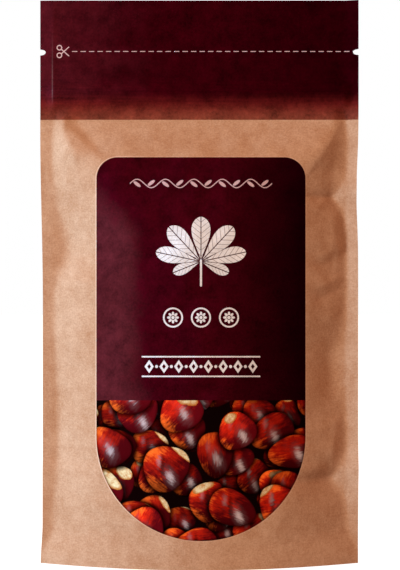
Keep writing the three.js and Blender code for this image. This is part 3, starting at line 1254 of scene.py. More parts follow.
@dataclass(frozen=True)
class ConkerPicture:
    """A printed picture of a heap of conkers, drawn as layers of shaded ovals."""

    gap: Colour = (14, 3, 3)
    dark: Colour = (64, 4, 9)
    skin: Colour = (168, 28, 12)
    glow: Colour = (234, 106, 36)
    shine: Colour = (226, 208, 212)
    scar: Colour = (240, 222, 176)
    scar_edge: Colour = (196, 124, 58)
    cell: float = 31.0
    seeds: tuple[float, ...] = (3.0, 23.0, 43.0)
    jitter: float = 0.12
    least_length: float = 0.33
    least_width: float = 0.285
    lobe_height: float = 0.055
    unscarred: float = 0.38
    light_from: tuple[float, float, float] = (-0.48, 0.62, 0.50)
    rim_glow_from: tuple[float, float, float] = (-0.50, 0.80, 0.10)
    low_glow_from: tuple[float, float, float] = (-0.62, -0.66, 0.25)
    layers: tuple[HeapLayer, ...] = (
        HeapLayer(0.96, 0.35, (0.62, 0.20), 0.22, 1.00),
        HeapLayer(0.98, 1.25, (0.15, 0.70), 0.08, 0.95),
        HeapLayer(0.84, 2.15, (0.55, 0.05), 0.00, 0.85),
        HeapLayer(0.78, 0.75, (0.85, 0.45), 0.00, 0.70),
        HeapLayer(0.70, 1.75, (0.30, 0.15), 0.00, 0.50),
    )

    def conkers(self, page: Page, u: Field, v: Field, number: int) -> Conkers:
        """Sets out one layer's conkers.

        Args:
            page: The material's nodes.
            u: Places across the sheet.
            v: Places up the sheet.
            number: Which layer, 0 in front.

        Returns:
            The layer's conkers.
        """
        layer = self.layers[number]
        size = self.cell * layer.scale
        turn_cosine, turn_sine = math.cos(layer.turn), math.sin(layer.turn)
        a = (u * (turn_cosine / size) - v * (turn_sine / size)) + (layer.shift[0] + 11 * number + 40)
        b = (u * (turn_sine / size) + v * (turn_cosine / size)) + (layer.shift[1] + 7 * number + 40)
        cell_a, cell_b = a.whole(), b.whole()
        drawn = [page.random(page.vector(cell_a, cell_b, seed + number)) for seed in self.seeds]
        chance = tuple(value for three in drawn for value in three)
        p = a - cell_a - 0.5 - (chance[0] - 0.5) * self.jitter
        q = b - cell_b - 0.5 - (chance[1] - 0.5) * self.jitter
        lean = chance[2] * (2 * math.pi)
        cosine, sine = lean.cosine(), lean.sine()
        along = (p * cosine + q * sine) / (chance[3] * 0.09 + self.least_length)
        off = (q * cosine - p * sine) / (chance[4] * 0.12 + self.least_width)
        reach = (along * along + off * off).root() + 0.001
        lobe = along / reach
        lobes = (lobe * lobe * lobe * 4 - lobe * 3) * self.lobe_height
        wobble = (page.noise(page.vector(a, b, 5.0 * number), 3.1, 2) - 0.5) * 0.12
        distance = reach + lobes + wobble
        height = (1 - distance * distance).most(0.0).root()
        right = (p * turn_cosine + q * turn_sine) * 2.6
        up = (q * turn_cosine - p * turn_sine) * 2.6
        streaks = page.noise(page.vector(along * 1.3, off * 6.0, cell_a * 3.7 + cell_b), 1.7, 4, 0.65)
        clouds = page.noise(page.vector(along, off, cell_b * 5.3 + cell_a), 1.5, 3, 0.6)
        shown = chance[6].step(layer.left_out - 0.001, layer.left_out + 0.001)
        normal = page.vector(right, up, height)
        return Conkers(chance, along, off, right, up, distance, height, normal, streaks, clouds, shown)

    def bare_skin(self, page: Page, conkers: Conkers) -> Field:
        """Draws the grained skin, glowing at its upper rim and low on the left.

        Args:
            page: The material's nodes.
            conkers: The layer's conkers.

        Returns:
            The colour, before it is shaded.
        """
        rough = (conkers.streaks - 0.5) * 1.1 + (conkers.clouds - 0.5) * 1.5
        lit = page.dot(conkers.normal, self.light_from) + rough
        rim = page.dot(conkers.normal, self.rim_glow_from) + rough * 0.7
        low = page.dot(conkers.normal, self.low_glow_from) + rough * 0.8
        skin = page.mix(lit.step(0.05, 1.15), self.dark, self.skin)
        glowing = (rim.step(0.56, 1.10) * 0.9).most(low.step(0.70, 1.12) * 0.6)
        return page.mix(glowing, skin, self.glow)

    def scarred(self, page: Page, conkers: Conkers) -> tuple[Field, Field]:
        """Draws the pale scars.

        Args:
            page: The material's nodes.
            conkers: The layer's conkers.

        Returns:
            The scars' cover and their colour, before it is shaded.
        """
        chance = conkers.chance
        side = page.vector((chance[3] - 0.4) * 1.5, 0.95 - chance[4] * 0.5, chance[5] * 0.9 - 0.25)
        facing = page.dot(conkers.normal, page.unit(side)) + (conkers.clouds - 0.5) * 0.12
        grain = page.noise(page.vector(conkers.along, conkers.off, 9.0), 4.0, 3, 0.7).step(0.35, 0.75)
        pale = page.mix(grain, self.scar, self.scar_edge)
        pale = page.mix(facing.step(0.855, 0.91), self.scar_edge, pale)
        return facing.step(0.835, 0.86) * chance[1].step(self.unscarred, self.unscarred + 0.001), pale

    def tone(self, conkers: Conkers, light: float) -> Field:
        """Gives how bright the conkers are: darker towards the edge, below and by the shine.

        Args:
            conkers: The layer's conkers.
            light: Share of the light that reaches the layer.

        Returns:
            The brightness.
        """
        chance = conkers.chance
        limb = conkers.height.step(-0.05, 0.55) * 0.82 + 0.18
        under = conkers.up.step(-1.05, -0.2) * 0.62 + 0.38
        x, y = conkers.right + 0.30 - chance[7] * 0.35, conkers.up - 0.10
        reflected = (x * x * 60.0 + y * y * 2.6).root() + (conkers.streaks - 0.5) * 1.8
        murk = 1 - reflected.step(1.1, 0.3) * chance[8].step(0.2, 0.6) * 0.6
        return (1.2 + chance[5] * 1.2) * limb * under * murk * light

    def shining(self, conkers: Conkers, light: float) -> Field:
        """Covers each conker's main shine and the fainter one above it.

        Args:
            conkers: The layer's conkers.
            light: Share of the light that reaches the layer.

        Returns:
            The shine's cover.
        """
        chance, rough = conkers.chance, conkers.streaks - 0.5
        x = conkers.right - 0.05 - chance[7] * 0.35
        y = conkers.up + 0.10 + chance[8] * 0.35
        slant_x, slant_y = x * 0.9 + y * 0.42, y * 0.9 - x * 0.42
        main = (slant_x * slant_x * 17.0 + slant_y * slant_y * 5.0).root() + rough * 1.5
        shine = (main.step(1.0, 0.05) * (chance[7] * 0.45 + 0.5)).most(main.step(1.7, 0.5) * 0.05)
        top_x, top_y = conkers.right + 0.30, conkers.up - 0.30
        upper = (top_x * top_x * 34.0 + top_y * top_y * 7.0).root() + rough * 2.0
        return shine.most(upper.step(1.0, 0.0) * chance[8] * 0.3) * conkers.height.step(0.1, 0.5) * light

    def one_layer(self, page: Page, u: Field, v: Field, number: int) -> tuple[Field, Field, Field]:
        """Draws one layer of the heap.

        Args:
            page: The material's nodes.
            u: Places across the sheet.
            v: Places up the sheet.
            number: Which layer, 0 in front.

        Returns:
            How much it covers, its colour, and the light that it leaves to what is behind it.
        """
        conkers = self.conkers(page, u, v, number)
        light = self.layers[number].light
        tone = self.tone(conkers, light)
        scar, pale = self.scarred(page, conkers)
        skin = page.shaded(self.bare_skin(page, conkers), tone)
        skin = page.mix(scar, skin, page.shaded(pale, tone.least(1.0)))
        skin = page.mix(self.shining(conkers, light), skin, self.shine)
        cover = conkers.distance.step(1.0, 0.955) * conkers.shown
        shadow = 1 - conkers.distance.step(1.30, 0.97) * 0.90 * conkers.shown
        return cover, skin, shadow

    def colour(self, page: Page, u: Field, v: Field) -> Field:
        """Draws the heap, from its hindmost layer to the front.

        Args:
            page: The material's nodes.
            u: Places across the sheet.
            v: Places up the sheet.

        Returns:
            The picture's colour.
        """
        drawn = [self.one_layer(page, u, v, layer) for layer in range(len(self.layers))]
        picture: Field | None = None
        for depth in reversed(range(len(drawn))):
            cover, colour, _ = drawn[depth]
            for nearer in range(depth):
                colour = page.shaded(colour, drawn[nearer][2])
            behind = picture if picture is not None else page.mix(0.0, self.gap, self.gap)
            picture = page.mix(cover, behind, colour)
        return picture


@dataclass(frozen=True)
class Print:
    """Everything that is printed on one panel."""

    kraft: KraftFinish
    band: Band
    label: Label | None
    picture: ConkerPicture | None
    ornament: Colour = (240, 240, 246)
    quiet_ornament: Colour = (214, 182, 190)
    vine_height: float = 189.5
    leaf_height: float = 150.5
    rosette_height: float = 122.5
    frieze_height: float = 98.0
    scissors_place: float = -69.9

    def scissors(self, pen: Pen) -> Field:
        """Draws the sign for a pair of scissors, at the left end of the tear line.

        Args:
            pen: The pen to draw with.

        Returns:
            The sign's cover.
        """
        height, left = self.band.tear_height, self.scissors_place
        cover = pen.ring(left, height + 1.9, 1.15, 0.48).most(pen.ring(left, height - 1.9, 1.15, 0.48))
        for up in (1, -1):
            blade = pen.stroke((left + 0.9, height + up * 1.2), (left + 4.7, height - up * 2.2), 0.45)
            cover = cover.most(blade)
        return cover

    def ornaments(self, pen: Pen, middle: float) -> Field:
        """Draws the marks on the label's maroon, all but the vine.

        Args:
            pen: The pen to draw with.
            middle: The label's middle, across.

        Returns:
            The marks' cover.
        """
        cover = pen.leaf((middle, self.leaf_height))
        cover = cover.most(pen.rosettes(middle, self.rosette_height, 14.0, 4.6))
        return cover.most(pen.frieze(middle - 29.6, 8, 7.4, self.frieze_height))

    def labelled(
        self, page: Page, pen: Pen, place: Field, colour: Field, mottle: Field
    ) -> tuple[Field, Field]:
        """Draws the label and the scissors sign.

        Args:
            page: The material's nodes.
            pen: The pen to draw with.
            place: Place on the object, in millimetres.
            colour: The colour round the label.
            mottle: How unevenly the ink lies.

        Returns:
            The colour with the label on it, and the label's cover.
        """
        distance = self.label.distance(pen)
        shape = pen.fill(distance)
        colour = page.mix(self.scissors(pen), colour, self.band.mark)
        ink = page.shaded(self.label.colour(pen, place), mottle)
        vine = pen.vine(self.label.middle, self.vine_height, 10, 14.2, 2.1)
        ink = page.mix(vine, ink, self.quiet_ornament)
        white = page.shaded(page.mix(0.0, self.ornament, self.ornament), mottle * 0.3 + 0.7)
        ink = page.mix(self.ornaments(pen, self.label.middle), ink, white)
        edge_shade = distance.step(0.3, -1.6) * 0.65 + 0.35
        picture = page.shaded(self.picture.colour(page, pen.u, pen.v), edge_shade)
        panel = page.mix((pen.v - self.label.split).step(0.15, -0.15), ink, picture)
        # The pale outline is print. Painted light and shade make it stronger at the left and fainter at the
        # right.
        outline = pen.fill((distance - 0.3).size() - 0.2) * (pen.u.step(-20.0, -45.0) * 0.6 + 0.25)
        return page.mix(shape, page.mix(outline, colour, self.label.edge), panel), shape

    def make(self, name: str) -> bpy.types.Material:
        """Makes the panel's material.

        Args:
            name: The material's name.

        Returns:
            The material.
        """
        page = Page(name)
        place = page.object_place()
        u, v = page.sheet_place()
        pen = Pen(page, u, v)
        paper = self.kraft.colour(page, place)
        band = self.band.mask(page, v)
        grain = page.noise(place, 0.9, 4, 0.7)
        # Painted light and shade: faint light and dark streaks along the zip, standing in for the shading
        # of its crimps.
        lines = page.noise(page.stretched(place, (0.02, 0.02, 0.9)), 1.0, 3, 0.6)
        lines = (lines - 0.5) * v.step(226.0, 232.0) * v.step(245.0, 238.0) * 1.2
        mottle = grain * 1.3 + page.noise(place, 0.12, 4, 0.65) * 1.8 - 0.55 + lines
        inked = page.shaded(self.band.colour(page, u, v, place), mottle)
        colour = page.mix(band, paper, inked)
        colour = page.mix(self.band.dashes(page, u, v), colour, self.band.mark)
        cover = band
        if self.label and self.picture:
            colour, shape = self.labelled(page, pen, place, colour, mottle)
            cover = band.most(shape)
        page.bump(self.kraft.tooth(page, place), self.kraft.tooth_height)
        return page.finish(colour, self.kraft.roughness - cover * 0.22, self.kraft.specular)


@dataclass(frozen=True)
class ConkerFinish:
    """A conker's glossy grained skin and its dull pale scar."""

    skin: Colour = (104, 38, 16)
    dark: Colour = (58, 17, 8)
    scar: Colour = (214, 186, 140)
    scar_shade: Colour = (182, 148, 104)
    roughness: float = 0.22

    def make(self, name: str) -> bpy.types.Material:
        """Makes the material. The scar's cover is stored on the mesh.

        Args:
            name: The material's name.

        Returns:
            The material.
        """
        page = Page(name)
        place = page.object_place()
        scar = page.attribute("scar").step(0.74, 0.79)
        grain = page.noise(page.stretched(place, (1.0, 1.0, 0.3)), 0.5, 4, 0.6)
        skin = page.mix(grain.step(0.3, 0.7), self.dark, self.skin)
        pale = page.mix(page.noise(place, 0.6, 3), self.scar, self.scar_shade)
        page.bump(page.noise(place, 0.5, 3) * scar + grain * 0.1, 0.15)
        return page.finish(page.mix(scar, skin, pale), scar * 0.5 + self.roughness, 0.5)


@dataclass(frozen=True)
class ZipFinish:
    """Milky moulded plastic, with faint drawing lines along it."""

    colour: Colour = (236, 232, 222)
    shade: Colour = (216, 210, 198)
    roughness: float = 0.38

    def make(self, name: str) -> bpy.types.Material:
        """Makes the material.

        Args:
            name: The material's name.

        Returns:
            The material.
        """
        page = Page(name)
        place = page.object_place()
        lines = page.noise(page.stretched(place, (0.04, 1.0, 1.0)), 3.0, 2)
        page.bump(lines, 0.03)
        return page.finish(page.mix(lines, self.colour, self.shade), self.roughness, 0.5)


@dataclass
class Panel:
    """The front or back sheet, as a fine mesh with soft unevenness."""

    name: str
    node: str
    face: Face
    form: PouchForm
    print_finish: Print
    eye_distance: float = 730.0
    eye_height: float = 138.5
    columns: int = 151
    rows: int = 236
    notch_rows: int = 15
    ripples: tuple[Ripples, ...] = field(default_factory=tuple)

    def heights(self) -> Array:
        """Gives the mesh's rows, closer together at the tear notches.

        Returns:
            Heights, in rising order.
        """
        form = self.form
        notch = form.notch_height + np.linspace(-1, 1, self.notch_rows) * form.notch_half_height
        even = np.linspace(0, form.height, self.rows)
        clear = even[np.abs(even - form.notch_height) > form.notch_half_height + 0.3]
        return np.sort(np.concatenate([clear, notch]))

    def grid(self) -> tuple[Array, Array]:
        """Gives x and z of the mesh's points, with the notches cut in.

        Returns:
            Places across and heights, as columns by rows.
        """
        form, z = self.form, self.heights()
        share = np.linspace(-1, 1, self.columns)[:, None]
        half = np.where(share < 0, -form.left_edge(z), form.right_edge(z))
        x = share * half
        near = smooth(np.abs(share), 0.9, 1.0)
        return x - np.sign(share) * form.notch(z) * near, np.broadcast_to(z, x.shape)

    def relief(self, x: Array, z: Array) -> Array:
        """Gives the soft unevenness, none at the seals and the rim.

        Args:
            x: Places across the sheet.
            z: Heights.

        Returns:
            Heights over the form.
        """
        _, full = self.form.fullness(x, z, self.face)
        free = np.clip(full * 5, 0, 1) * smooth(z, 0, 25) * (1 - smooth(z, 205, 222))
        return sum((ripple.raised(x, z) for ripple in self.ripples), np.zeros_like(x)) * free

    def welded(self, x: Array, z: Array) -> Array:
        """Gives 1 where the two panels are welded to each other, along the sides and the head.

        Args:
            x: Places across the sheet.
            z: Heights.

        Returns:
            Shares from 0 to 1.
        """
        form = self.form
        above_fold = smooth(z, form.fold_height + 1.5, form.fold_height + 4.5)
        sides = smooth(np.abs(x), form.half_width - 5.6, form.half_width - 4.6) * above_fold
        return np.maximum(sides, smooth(z, form.head_seal_height, form.head_seal_height + 3))

    def build(self) -> bpy.types.Object:
        """Makes the panel and dresses it.

        Returns:
            The panel.
        """
        x, z = self.grid()
        if self.face.direction > 0:
            x, z = x[::-1], z[::-1]
        depth = self.form.depth(x, z, self.face) + self.relief(x, z)
        middle = self.form.curl(x, z)
        sheet, gap = self.form.sheet, self.form.weld_gap
        inside = depth - sheet + (sheet - depth + gap) * self.welded(x, z)
        faces = [np.stack([x, middle + self.face.direction * reach, z], -1) for reach in (depth, inside)]
        nearer = self.eye_distance / (self.eye_distance - np.maximum(depth - 1.0, 0))
        flat = np.stack([x * nearer, self.eye_height + (z - self.eye_height) * nearer], -1)
        piece = SheetMesh(self.name).between(*faces, flat)
        piece.data.materials.append(self.print_finish.make(f"{self.name}_print"))
        return place_piece(piece, [self.node])


@dataclass
class Gusset:
    """The folded sheet that opens to make the base, a little thinner here so that it clears the panels."""

    form: PouchForm
    finish: KraftFinish
    thickness: float = 0.3
    reach: float = 0.985
    seal_curve: float = 2.4
    seal_span: float = 77.0
    columns: int = 121
    floor_steps: int = 40
    skirt_steps: int = 16

    def half_depth(self, x: Array, z: Array, face: Face) -> Array:
        """Gives the half depth of the sheet's middle line where it lies on a panel."""
        form = self.form
        return form.depth(x, z, face) - form.sheet - form.gap - form.sheet / 2

    def section(self, x: Array) -> tuple[Array, Array]:
        """Gives y and z of the middle line at each x, from the front rim over the floor to the back rim.

        Args:
            x: Places across.

        Returns:
            Places forward and back, and heights, as columns by steps.
        """
        form = self.form
        risen = np.minimum(1, np.abs(x) / self.seal_span) ** self.seal_curve
        seal = form.floor_seal + (form.fold_height - form.floor_seal) * risen
        share = np.linspace(0, 1, self.skirt_steps, endpoint=False)
        skirt_z = seal[:, None] * share
        wide = np.broadcast_to(x[:, None], skirt_z.shape)
        front = -self.half_depth(wide, skirt_z, FRONT)
        back = self.half_depth(wide, skirt_z, BACK)
        angle = np.linspace(math.pi, 0, self.floor_steps)
        in_front, behind = (self.half_depth(x, seal, face)[:, None] for face in (FRONT, BACK))
        half = np.where(angle > math.pi / 2, in_front, behind)
        power = 2 / (2 + 0.8 * np.minimum(1, half / 10))
        floor_y = half * np.sign(np.cos(angle)) * np.abs(np.cos(angle)) ** power
        floor_z = seal[:, None] + half / (1 + half / 5) * np.abs(np.sin(angle)) ** power
        y = np.concatenate([front, floor_y, back[:, ::-1]], 1)
        return y, np.concatenate([skirt_z, floor_z, skirt_z[:, ::-1]], 1)

    def build(self) -> bpy.types.Object:
        """Makes the gusset and dresses it.

        Returns:
            The gusset.
        """
        share = np.linspace(-self.reach, self.reach, self.columns)
        zero = np.zeros_like(share)
        half_width = np.where(share < 0, -self.form.left_edge(zero), self.form.right_edge(zero))
        x = share * self.reach * half_width
        y, z = self.section(x)
        run_y, run_z = np.gradient(y, axis=1), np.gradient(z, axis=1)
        length = np.hypot(run_y, run_z)
        wide = np.broadcast_to(x[:, None], y.shape)
        faces = []
        for offset in (self.thickness / 2, -self.thickness / 2):
            side_z = z + offset * run_y / length
            side_z[:, [0, -1]] = 0
            side_y = y - offset * run_z / length + self.form.curl(wide, z)
            faces.append(np.stack([wide, side_y, side_z], -1))
        piece = SheetMesh("gusset_sheet").between(*faces)
        piece.data.materials.append(self.finish.make("gusset_kraft"))
        return place_piece(piece, ["bottom_gusset"])


def place_piece(piece: bpy.types.Object, nodes: Sequence[str]) -> bpy.types.Object:
    """Rides a piece on the pouch's body, in the place of the model's plain nodes.

    Args:
        piece: The finished piece.
        nodes: The nodes that it stands for.

    Returns:
        The piece.
    """
    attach(piece, "root")
    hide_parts(*nodes)
    LOG.info("%s: %d faces", piece.name, len(piece.data.polygons))
    return piece


class TreeKit:
    """Builds a Geometry Nodes tree."""

    def __init__(self, name: str) -> None:
        """Starts a tree with a geometry input and output.

        Args:
            name: The tree's name.
        """
        self.tree = bpy.data.node_groups.new(name, "GeometryNodeTree")
        self.tree.is_modifier = True
        self.tree.interface.new_socket("Geometry", in_out="INPUT", socket_type="NodeSocketGeometry")
        self.tree.interface.new_socket("Geometry", in_out="OUTPUT", socket_type="NodeSocketGeometry")
        self.source = self.tree.nodes.new("NodeGroupInput")
        self.sink = self.tree.nodes.new("NodeGroupOutput")

    def number_input(self, name: str, value: float) -> str:
        """Adds a named number and returns its identifier.

        Args:
            name: The input's name.
            value: Its value at first.

        Returns:
            Its identifier.
        """
        socket = self.tree.interface.new_socket(name, in_out="INPUT", socket_type="NodeSocketFloat")
        socket.default_value = value
        return socket.identifier

    def whole_input(self, name: str, value: int) -> str:
        """Adds a named whole number and returns its identifier.

        Args:
            name: The input's name.
            value: Its value at first.

        Returns:
            Its identifier.
        """
        socket = self.tree.interface.new_socket(name, in_out="INPUT", socket_type="NodeSocketInt")
        socket.default_value = value
        return socket.identifier

    def node(self, kind: str, **settings: object) -> bpy.types.Node:
        """Adds a node and sets its options.

        Args:
            kind: The node's type.
            settings: Its options, by name.

        Returns:
            The node.
        """
        made = self.tree.nodes.new(kind)
        for key, value in settings.items():
            setattr(made, key, value)
        return made

    def link(self, source: bpy.types.NodeSocket, target: bpy.types.NodeSocket) -> None:
        """Links two sockets."""
        self.tree.links.new(source, target)

    def math(self, operation: str, *values: "bpy.types.NodeSocket | float") -> bpy.types.NodeSocket:
        """Adds a Math node on sockets or numbers and returns its result.

        Args:
            operation: The node's operation.
            values: Its inputs, as sockets or numbers.

        Returns:
            The result.
        """
        made = self.node("ShaderNodeMath", operation=operation)
        for socket, value in zip(made.inputs, values):
            if isinstance(value, bpy.types.NodeSocket):
                self.link(value, socket)
            else:
                socket.default_value = value
        return made.outputs[0]


@dataclass
class ConkerHeap:
    """The loose conkers inside, one ball for each of the model's, turned the same way."""

    finish: ConkerFinish
    count: int = 30
    subdivisions: int = 4
    squat: float = 0.93
    scar_flat: float = 0.16
    name: str = "conker_heap"

    def nodes(self) -> list[str]:
        """Gives the names of the model's conkers."""
        return [f"conker_{n:02d}" for n in range(1, self.count + 1)]

    def measure(self, node: str) -> tuple[Vector, float, Vector]:
        """Reads one conker of the model.

        Args:
            node: Its name.

        Returns:
            Its centre, the radius of the ball that it was cut from, and the direction of its scar.
        """
        points = np.unique(np.array([v.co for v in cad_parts[node].data.vertices]).round(7), axis=0)
        centre = points.mean(0)
        radii = np.linalg.norm(points - centre, axis=1)
        scar = (points - centre)[radii.argsort()[:6]].mean(0)
        return Vector(centre), float(np.percentile(radii, 80)), Vector(scar).normalized()

    def seeds(self) -> bpy.types.Object:
        """Makes one vertex for each conker, which carries its radius and its scar's direction.

        Returns:
            The object, with bare vertices.
        """
        measured = [self.measure(node) for node in self.nodes()]
        mesh = bpy.data.meshes.new(self.name)
        mesh.from_pydata([tuple(centre) for centre, _, _ in measured], [], [])
        radius = mesh.attributes.new("radius", "FLOAT", "POINT")
        radius.data.foreach_set("value", [value for _, value, _ in measured])
        away = mesh.attributes.new("away_from_scar", "FLOAT_VECTOR", "POINT")
        away.data.foreach_set("vector", np.array([-scar for _, _, scar in measured]).ravel())
        piece = bpy.data.objects.new(self.name, mesh)
        bpy.context.scene.collection.objects.link(piece)
        return piece

    def tree(self, material: bpy.types.Material) -> tuple[bpy.types.GeometryNodeTree, dict[str, str]]:
        """Builds the tree that sets a squat, scarred ball on every vertex.

        Args:
            material: The conkers' finish.

        Returns:
            The tree, and its inputs' identifiers by name.
        """
        kit = TreeKit("conkers_on_points")
        inputs = {
            "Subdivisions": kit.whole_input("Subdivisions", self.subdivisions),
            "Squat": kit.number_input("Squat", self.squat),
            "Scar Flat": kit.number_input("Scar Flat", self.scar_flat),
        }
        ball = kit.node("GeometryNodeMeshIcoSphere")
        ball.inputs["Radius"].default_value = 1.0
        kit.link(kit.source.outputs["Subdivisions"], ball.inputs["Subdivisions"])
        split = kit.node("ShaderNodeSeparateXYZ")
        kit.link(kit.node("GeometryNodeInputPosition").outputs[0], split.inputs[0])
        x, y, z = split.outputs
        down = kit.math("MULTIPLY", z, -1.0)
        flat = kit.node("ShaderNodeMapRange", interpolation_type="SMOOTHSTEP")
        kit.link(down, flat.inputs[0])
        flat.inputs[1].default_value = 0.3
        pressed = kit.math("MULTIPLY", flat.outputs[0], kit.source.outputs["Scar Flat"])
        tall = kit.math("MULTIPLY", z, kit.math("SUBTRACT", kit.source.outputs["Squat"], pressed))
        place = kit.node("ShaderNodeCombineXYZ")
        for source, target in zip((x, y, tall), place.inputs):
            kit.link(source, target)
        shaped = kit.node("GeometryNodeSetPosition")
        kit.link(place.outputs[0], shaped.inputs["Position"])
        stored = kit.node("GeometryNodeStoreNamedAttribute", data_type="FLOAT", domain="POINT")
        stored.inputs["Name"].default_value = "scar"
        kit.link(ball.outputs["Mesh"], stored.inputs["Geometry"])
        kit.link(down, next(s for s in stored.inputs if s.name == "Value" and s.enabled))
        kit.link(stored.outputs["Geometry"], shaped.inputs["Geometry"])
        soft = kit.node("GeometryNodeSetShadeSmooth")
        kit.link(shaped.outputs["Geometry"], soft.inputs["Geometry"])
        radius = kit.node("GeometryNodeInputNamedAttribute", data_type="FLOAT")
        radius.inputs["Name"].default_value = "radius"
        away = kit.node("GeometryNodeInputNamedAttribute", data_type="FLOAT_VECTOR")
        away.inputs["Name"].default_value = "away_from_scar"
        turned = kit.node("FunctionNodeAlignRotationToVector", axis="Z")
        kit.link(away.outputs["Attribute"], turned.inputs["Vector"])
        points = kit.node("GeometryNodeInstanceOnPoints")
        kit.link(kit.source.outputs["Geometry"], points.inputs["Points"])
        kit.link(soft.outputs["Geometry"], points.inputs["Instance"])
        kit.link(turned.outputs["Rotation"], points.inputs["Rotation"])
        kit.link(radius.outputs["Attribute"], points.inputs["Scale"])
        real = kit.node("GeometryNodeRealizeInstances")
        kit.link(points.outputs["Instances"], real.inputs["Geometry"])
        dressed = kit.node("GeometryNodeSetMaterial")
        dressed.inputs["Material"].default_value = material
        kit.link(real.outputs["Geometry"], dressed.inputs["Geometry"])
        kit.link(dressed.outputs["Geometry"], kit.sink.inputs["Geometry"])
        return kit.tree, inputs

    def build(self) -> bpy.types.Object:
        """Makes the heap as one plain mesh.

        Returns:
            The heap.
        """
        piece = self.seeds()
        tree, inputs = self.tree(self.finish.make("conker_skin"))
        modifier = piece.modifiers.new("conkers", "NODES")
        modifier.node_group = tree
        modifier[inputs["Subdivisions"]] = self.subdivisions
        modifier[inputs["Squat"]] = self.squat
        modifier[inputs["Scar Flat"]] = self.scar_flat
        bpy.context.view_layer.update()
        evaluated = piece.evaluated_get(bpy.context.evaluated_depsgraph_get())
        mesh = bpy.data.meshes.new_from_object(evaluated)
        piece.modifiers.clear()
        piece.data = mesh
        return place_piece(piece, self.nodes())


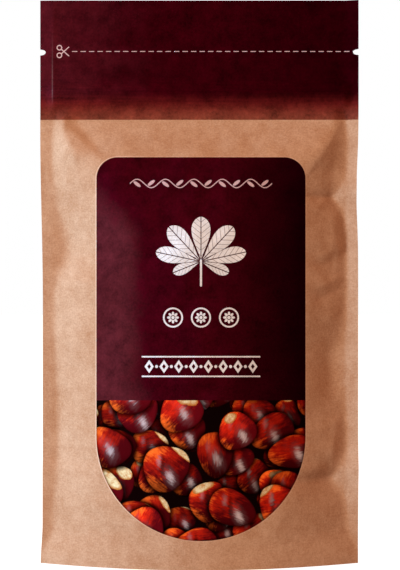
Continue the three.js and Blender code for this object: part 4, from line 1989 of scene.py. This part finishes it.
@dataclass
class Studio:
    """A floor and surround that look plain white, three lamps on the left, and the camera."""

    eye_distance: float = 730.0
    eye_height: float = 138.75
    eye_across: float = 0.4
    view_height: float = 285.3
    sensor: float = 36.0
    floor_half_width: float = 6000.0
    surround: float = 0.67
    surround_colour: tuple[float, float, float, float] = (1.0, 0.56, 0.36, 1.0)
    lamp_distance: float = 2200.0
    lamp_height: float = 230.0
    lamp_size: float = 420.0
    key_angle: float = 50.0
    key_power: float = 29.8
    key_colour: tuple[float, float, float] = (1.0, 1.0, 0.9)
    raking_angle: float = 84.0
    raking_power: float = 60.0
    raking_colour: tuple[float, float, float] = (0.2, 0.6, 1.0)
    rear_angle: float = 130.0
    rear_power: float = 27.0

    def floor(self) -> bpy.types.Object:
        """Lays a grey floor that glows white to the eye.

        Returns:
            The floor.
        """
        half = self.floor_half_width * MM
        mesh = bpy.data.meshes.new("floor")
        corners = [(-half, -half, 0), (half, -half, 0), (half, half, 0), (-half, half, 0)]
        mesh.from_pydata(corners, [], [(0, 1, 2, 3)])
        piece = bpy.data.objects.new("floor", mesh)
        bpy.context.scene.collection.objects.link(piece)
        page = Page("floor_white")
        page.shader.inputs["Base Color"].default_value = (0.35, 0.35, 0.35, 1)
        page.shader.inputs["Roughness"].default_value = 1.0
        page.shader.inputs["Specular IOR Level"].default_value = 0.0
        page.shader.inputs["Emission Color"].default_value = (1, 1, 1, 1)
        page.links.new(self.seen_directly(page.nodes), page.shader.inputs["Emission Strength"])
        mesh.materials.append(page.material)
        return piece

    def seen_directly(self, nodes: bpy.types.Nodes) -> bpy.types.NodeSocket:
        """Gives 1 to what the eye sees, and 0 to what only lights the pouch."""
        return nodes.new("ShaderNodeLightPath").outputs["Is Camera Ray"]

    def surroundings(self) -> None:
        """Makes the surround white to the eye, and a dim warm light to the pouch."""
        world = bpy.data.worlds.new("surround")
        bpy.context.scene.world = world
        world.use_nodes = True
        nodes, links = world.node_tree.nodes, world.node_tree.links
        dim, white = nodes["Background"], nodes.new("ShaderNodeBackground")
        dim.inputs["Color"].default_value = self.surround_colour
        dim.inputs["Strength"].default_value = self.surround
        white.inputs["Color"].default_value = (1, 1, 1, 1)
        either = nodes.new("ShaderNodeMixShader")
        links.new(self.seen_directly(nodes), either.inputs[0])
        links.new(dim.outputs[0], either.inputs[1])
        links.new(white.outputs[0], either.inputs[2])
        links.new(either.outputs[0], nodes["World Output"].inputs["Surface"])

    def lamp(self, name: str, angle: float, power: float, colour: Sequence[float]) -> bpy.types.Object:
        """Hangs a square lamp that faces the pouch's middle.

        Args:
            name: Its name.
            angle: Its turn from straight in front to the left, in degrees.
            power: Its power in watts.
            colour: Its colour.

        Returns:
            The lamp.
        """
        light = bpy.data.lights.new(name, "AREA")
        light.energy = power
        light.color = colour
        light.size = self.lamp_size * MM
        turn = math.radians(angle)
        place = Vector((-math.sin(turn), -math.cos(turn), 0)) * self.lamp_distance
        place.z = self.lamp_height
        piece = bpy.data.objects.new(name, light)
        piece.location = place * MM
        aim = Vector((0, 0, self.eye_height)) - place
        piece.rotation_euler = aim.to_track_quat("-Z", "Y").to_euler()
        bpy.context.scene.collection.objects.link(piece)
        return piece

    def lights(self) -> None:
        """Hangs the key light, a raking one far to the left and one behind that leaves the front alone."""
        self.lamp("key", self.key_angle, self.key_power, self.key_colour)
        raking = self.lamp("raking", self.raking_angle, self.raking_power, self.raking_colour)
        raking.data.use_shadow = False
        raking.visible_glossy = False
        self.lamp("rear", self.rear_angle, self.rear_power, self.key_colour)

    def camera(self) -> None:
        """Sets the camera level with the pouch's middle, straight in front."""
        data = bpy.data.cameras.new("eye")
        data.sensor_width = self.sensor
        data.lens = self.sensor * self.eye_distance / self.view_height
        data.clip_start = 0.01
        eye = bpy.data.objects.new("eye", data)
        eye.location = Vector((self.eye_across, -self.eye_distance, self.eye_height)) * MM
        eye.rotation_euler = (math.pi / 2, 0, 0)
        bpy.context.scene.collection.objects.link(eye)
        bpy.context.scene.camera = eye

    def build(self) -> None:
        """Sets up the camera, light and floor."""
        self.camera()
        self.surroundings()
        self.lights()
        self.floor()
        bpy.context.scene.view_settings.view_transform = "Standard"


@dataclass
class ZipStrips:
    """The closed zip's two strips, which keep the model's shape and only need their plastic."""

    finish: ZipFinish
    nodes: tuple[str, ...] = ("zip_rib_strip", "zip_channel_strip")

    def dress(self) -> None:
        """Gives both strips one material."""
        material = self.finish.make("zip_plastic")
        for node in self.nodes:
            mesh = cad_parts[node].data
            mesh.materials.clear()
            mesh.materials.append(material)
            LOG.info("%s dressed", node)


def write_sizes() -> None:
    """Updates the view layer."""
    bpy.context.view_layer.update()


def main() -> None:
    """Builds the pouch piece by piece, and its studio."""
    logging.basicConfig(level=logging.INFO, format="%(message)s")
    Studio().build()
    form, kraft, band = PouchForm(), KraftFinish(), Band()
    waves = (Ripples(5, 0.26, 26, 50), Ripples(6, 0.10, 9, 20))
    front_print = Print(kraft, band, Label(), ConkerPicture())
    back_print = Print(kraft, band, None, None)
    Panel("front_sheet", "front_panel", FRONT, form, front_print, ripples=waves).build()
    Panel("back_sheet", "back_panel", BACK, form, back_print, ripples=waves).build()
    Gusset(form, kraft).build()
    ConkerHeap(ConkerFinish()).build()
    ZipStrips(ZipFinish()).dress()
    write_sizes()


if __name__ == "__main__":
    main()
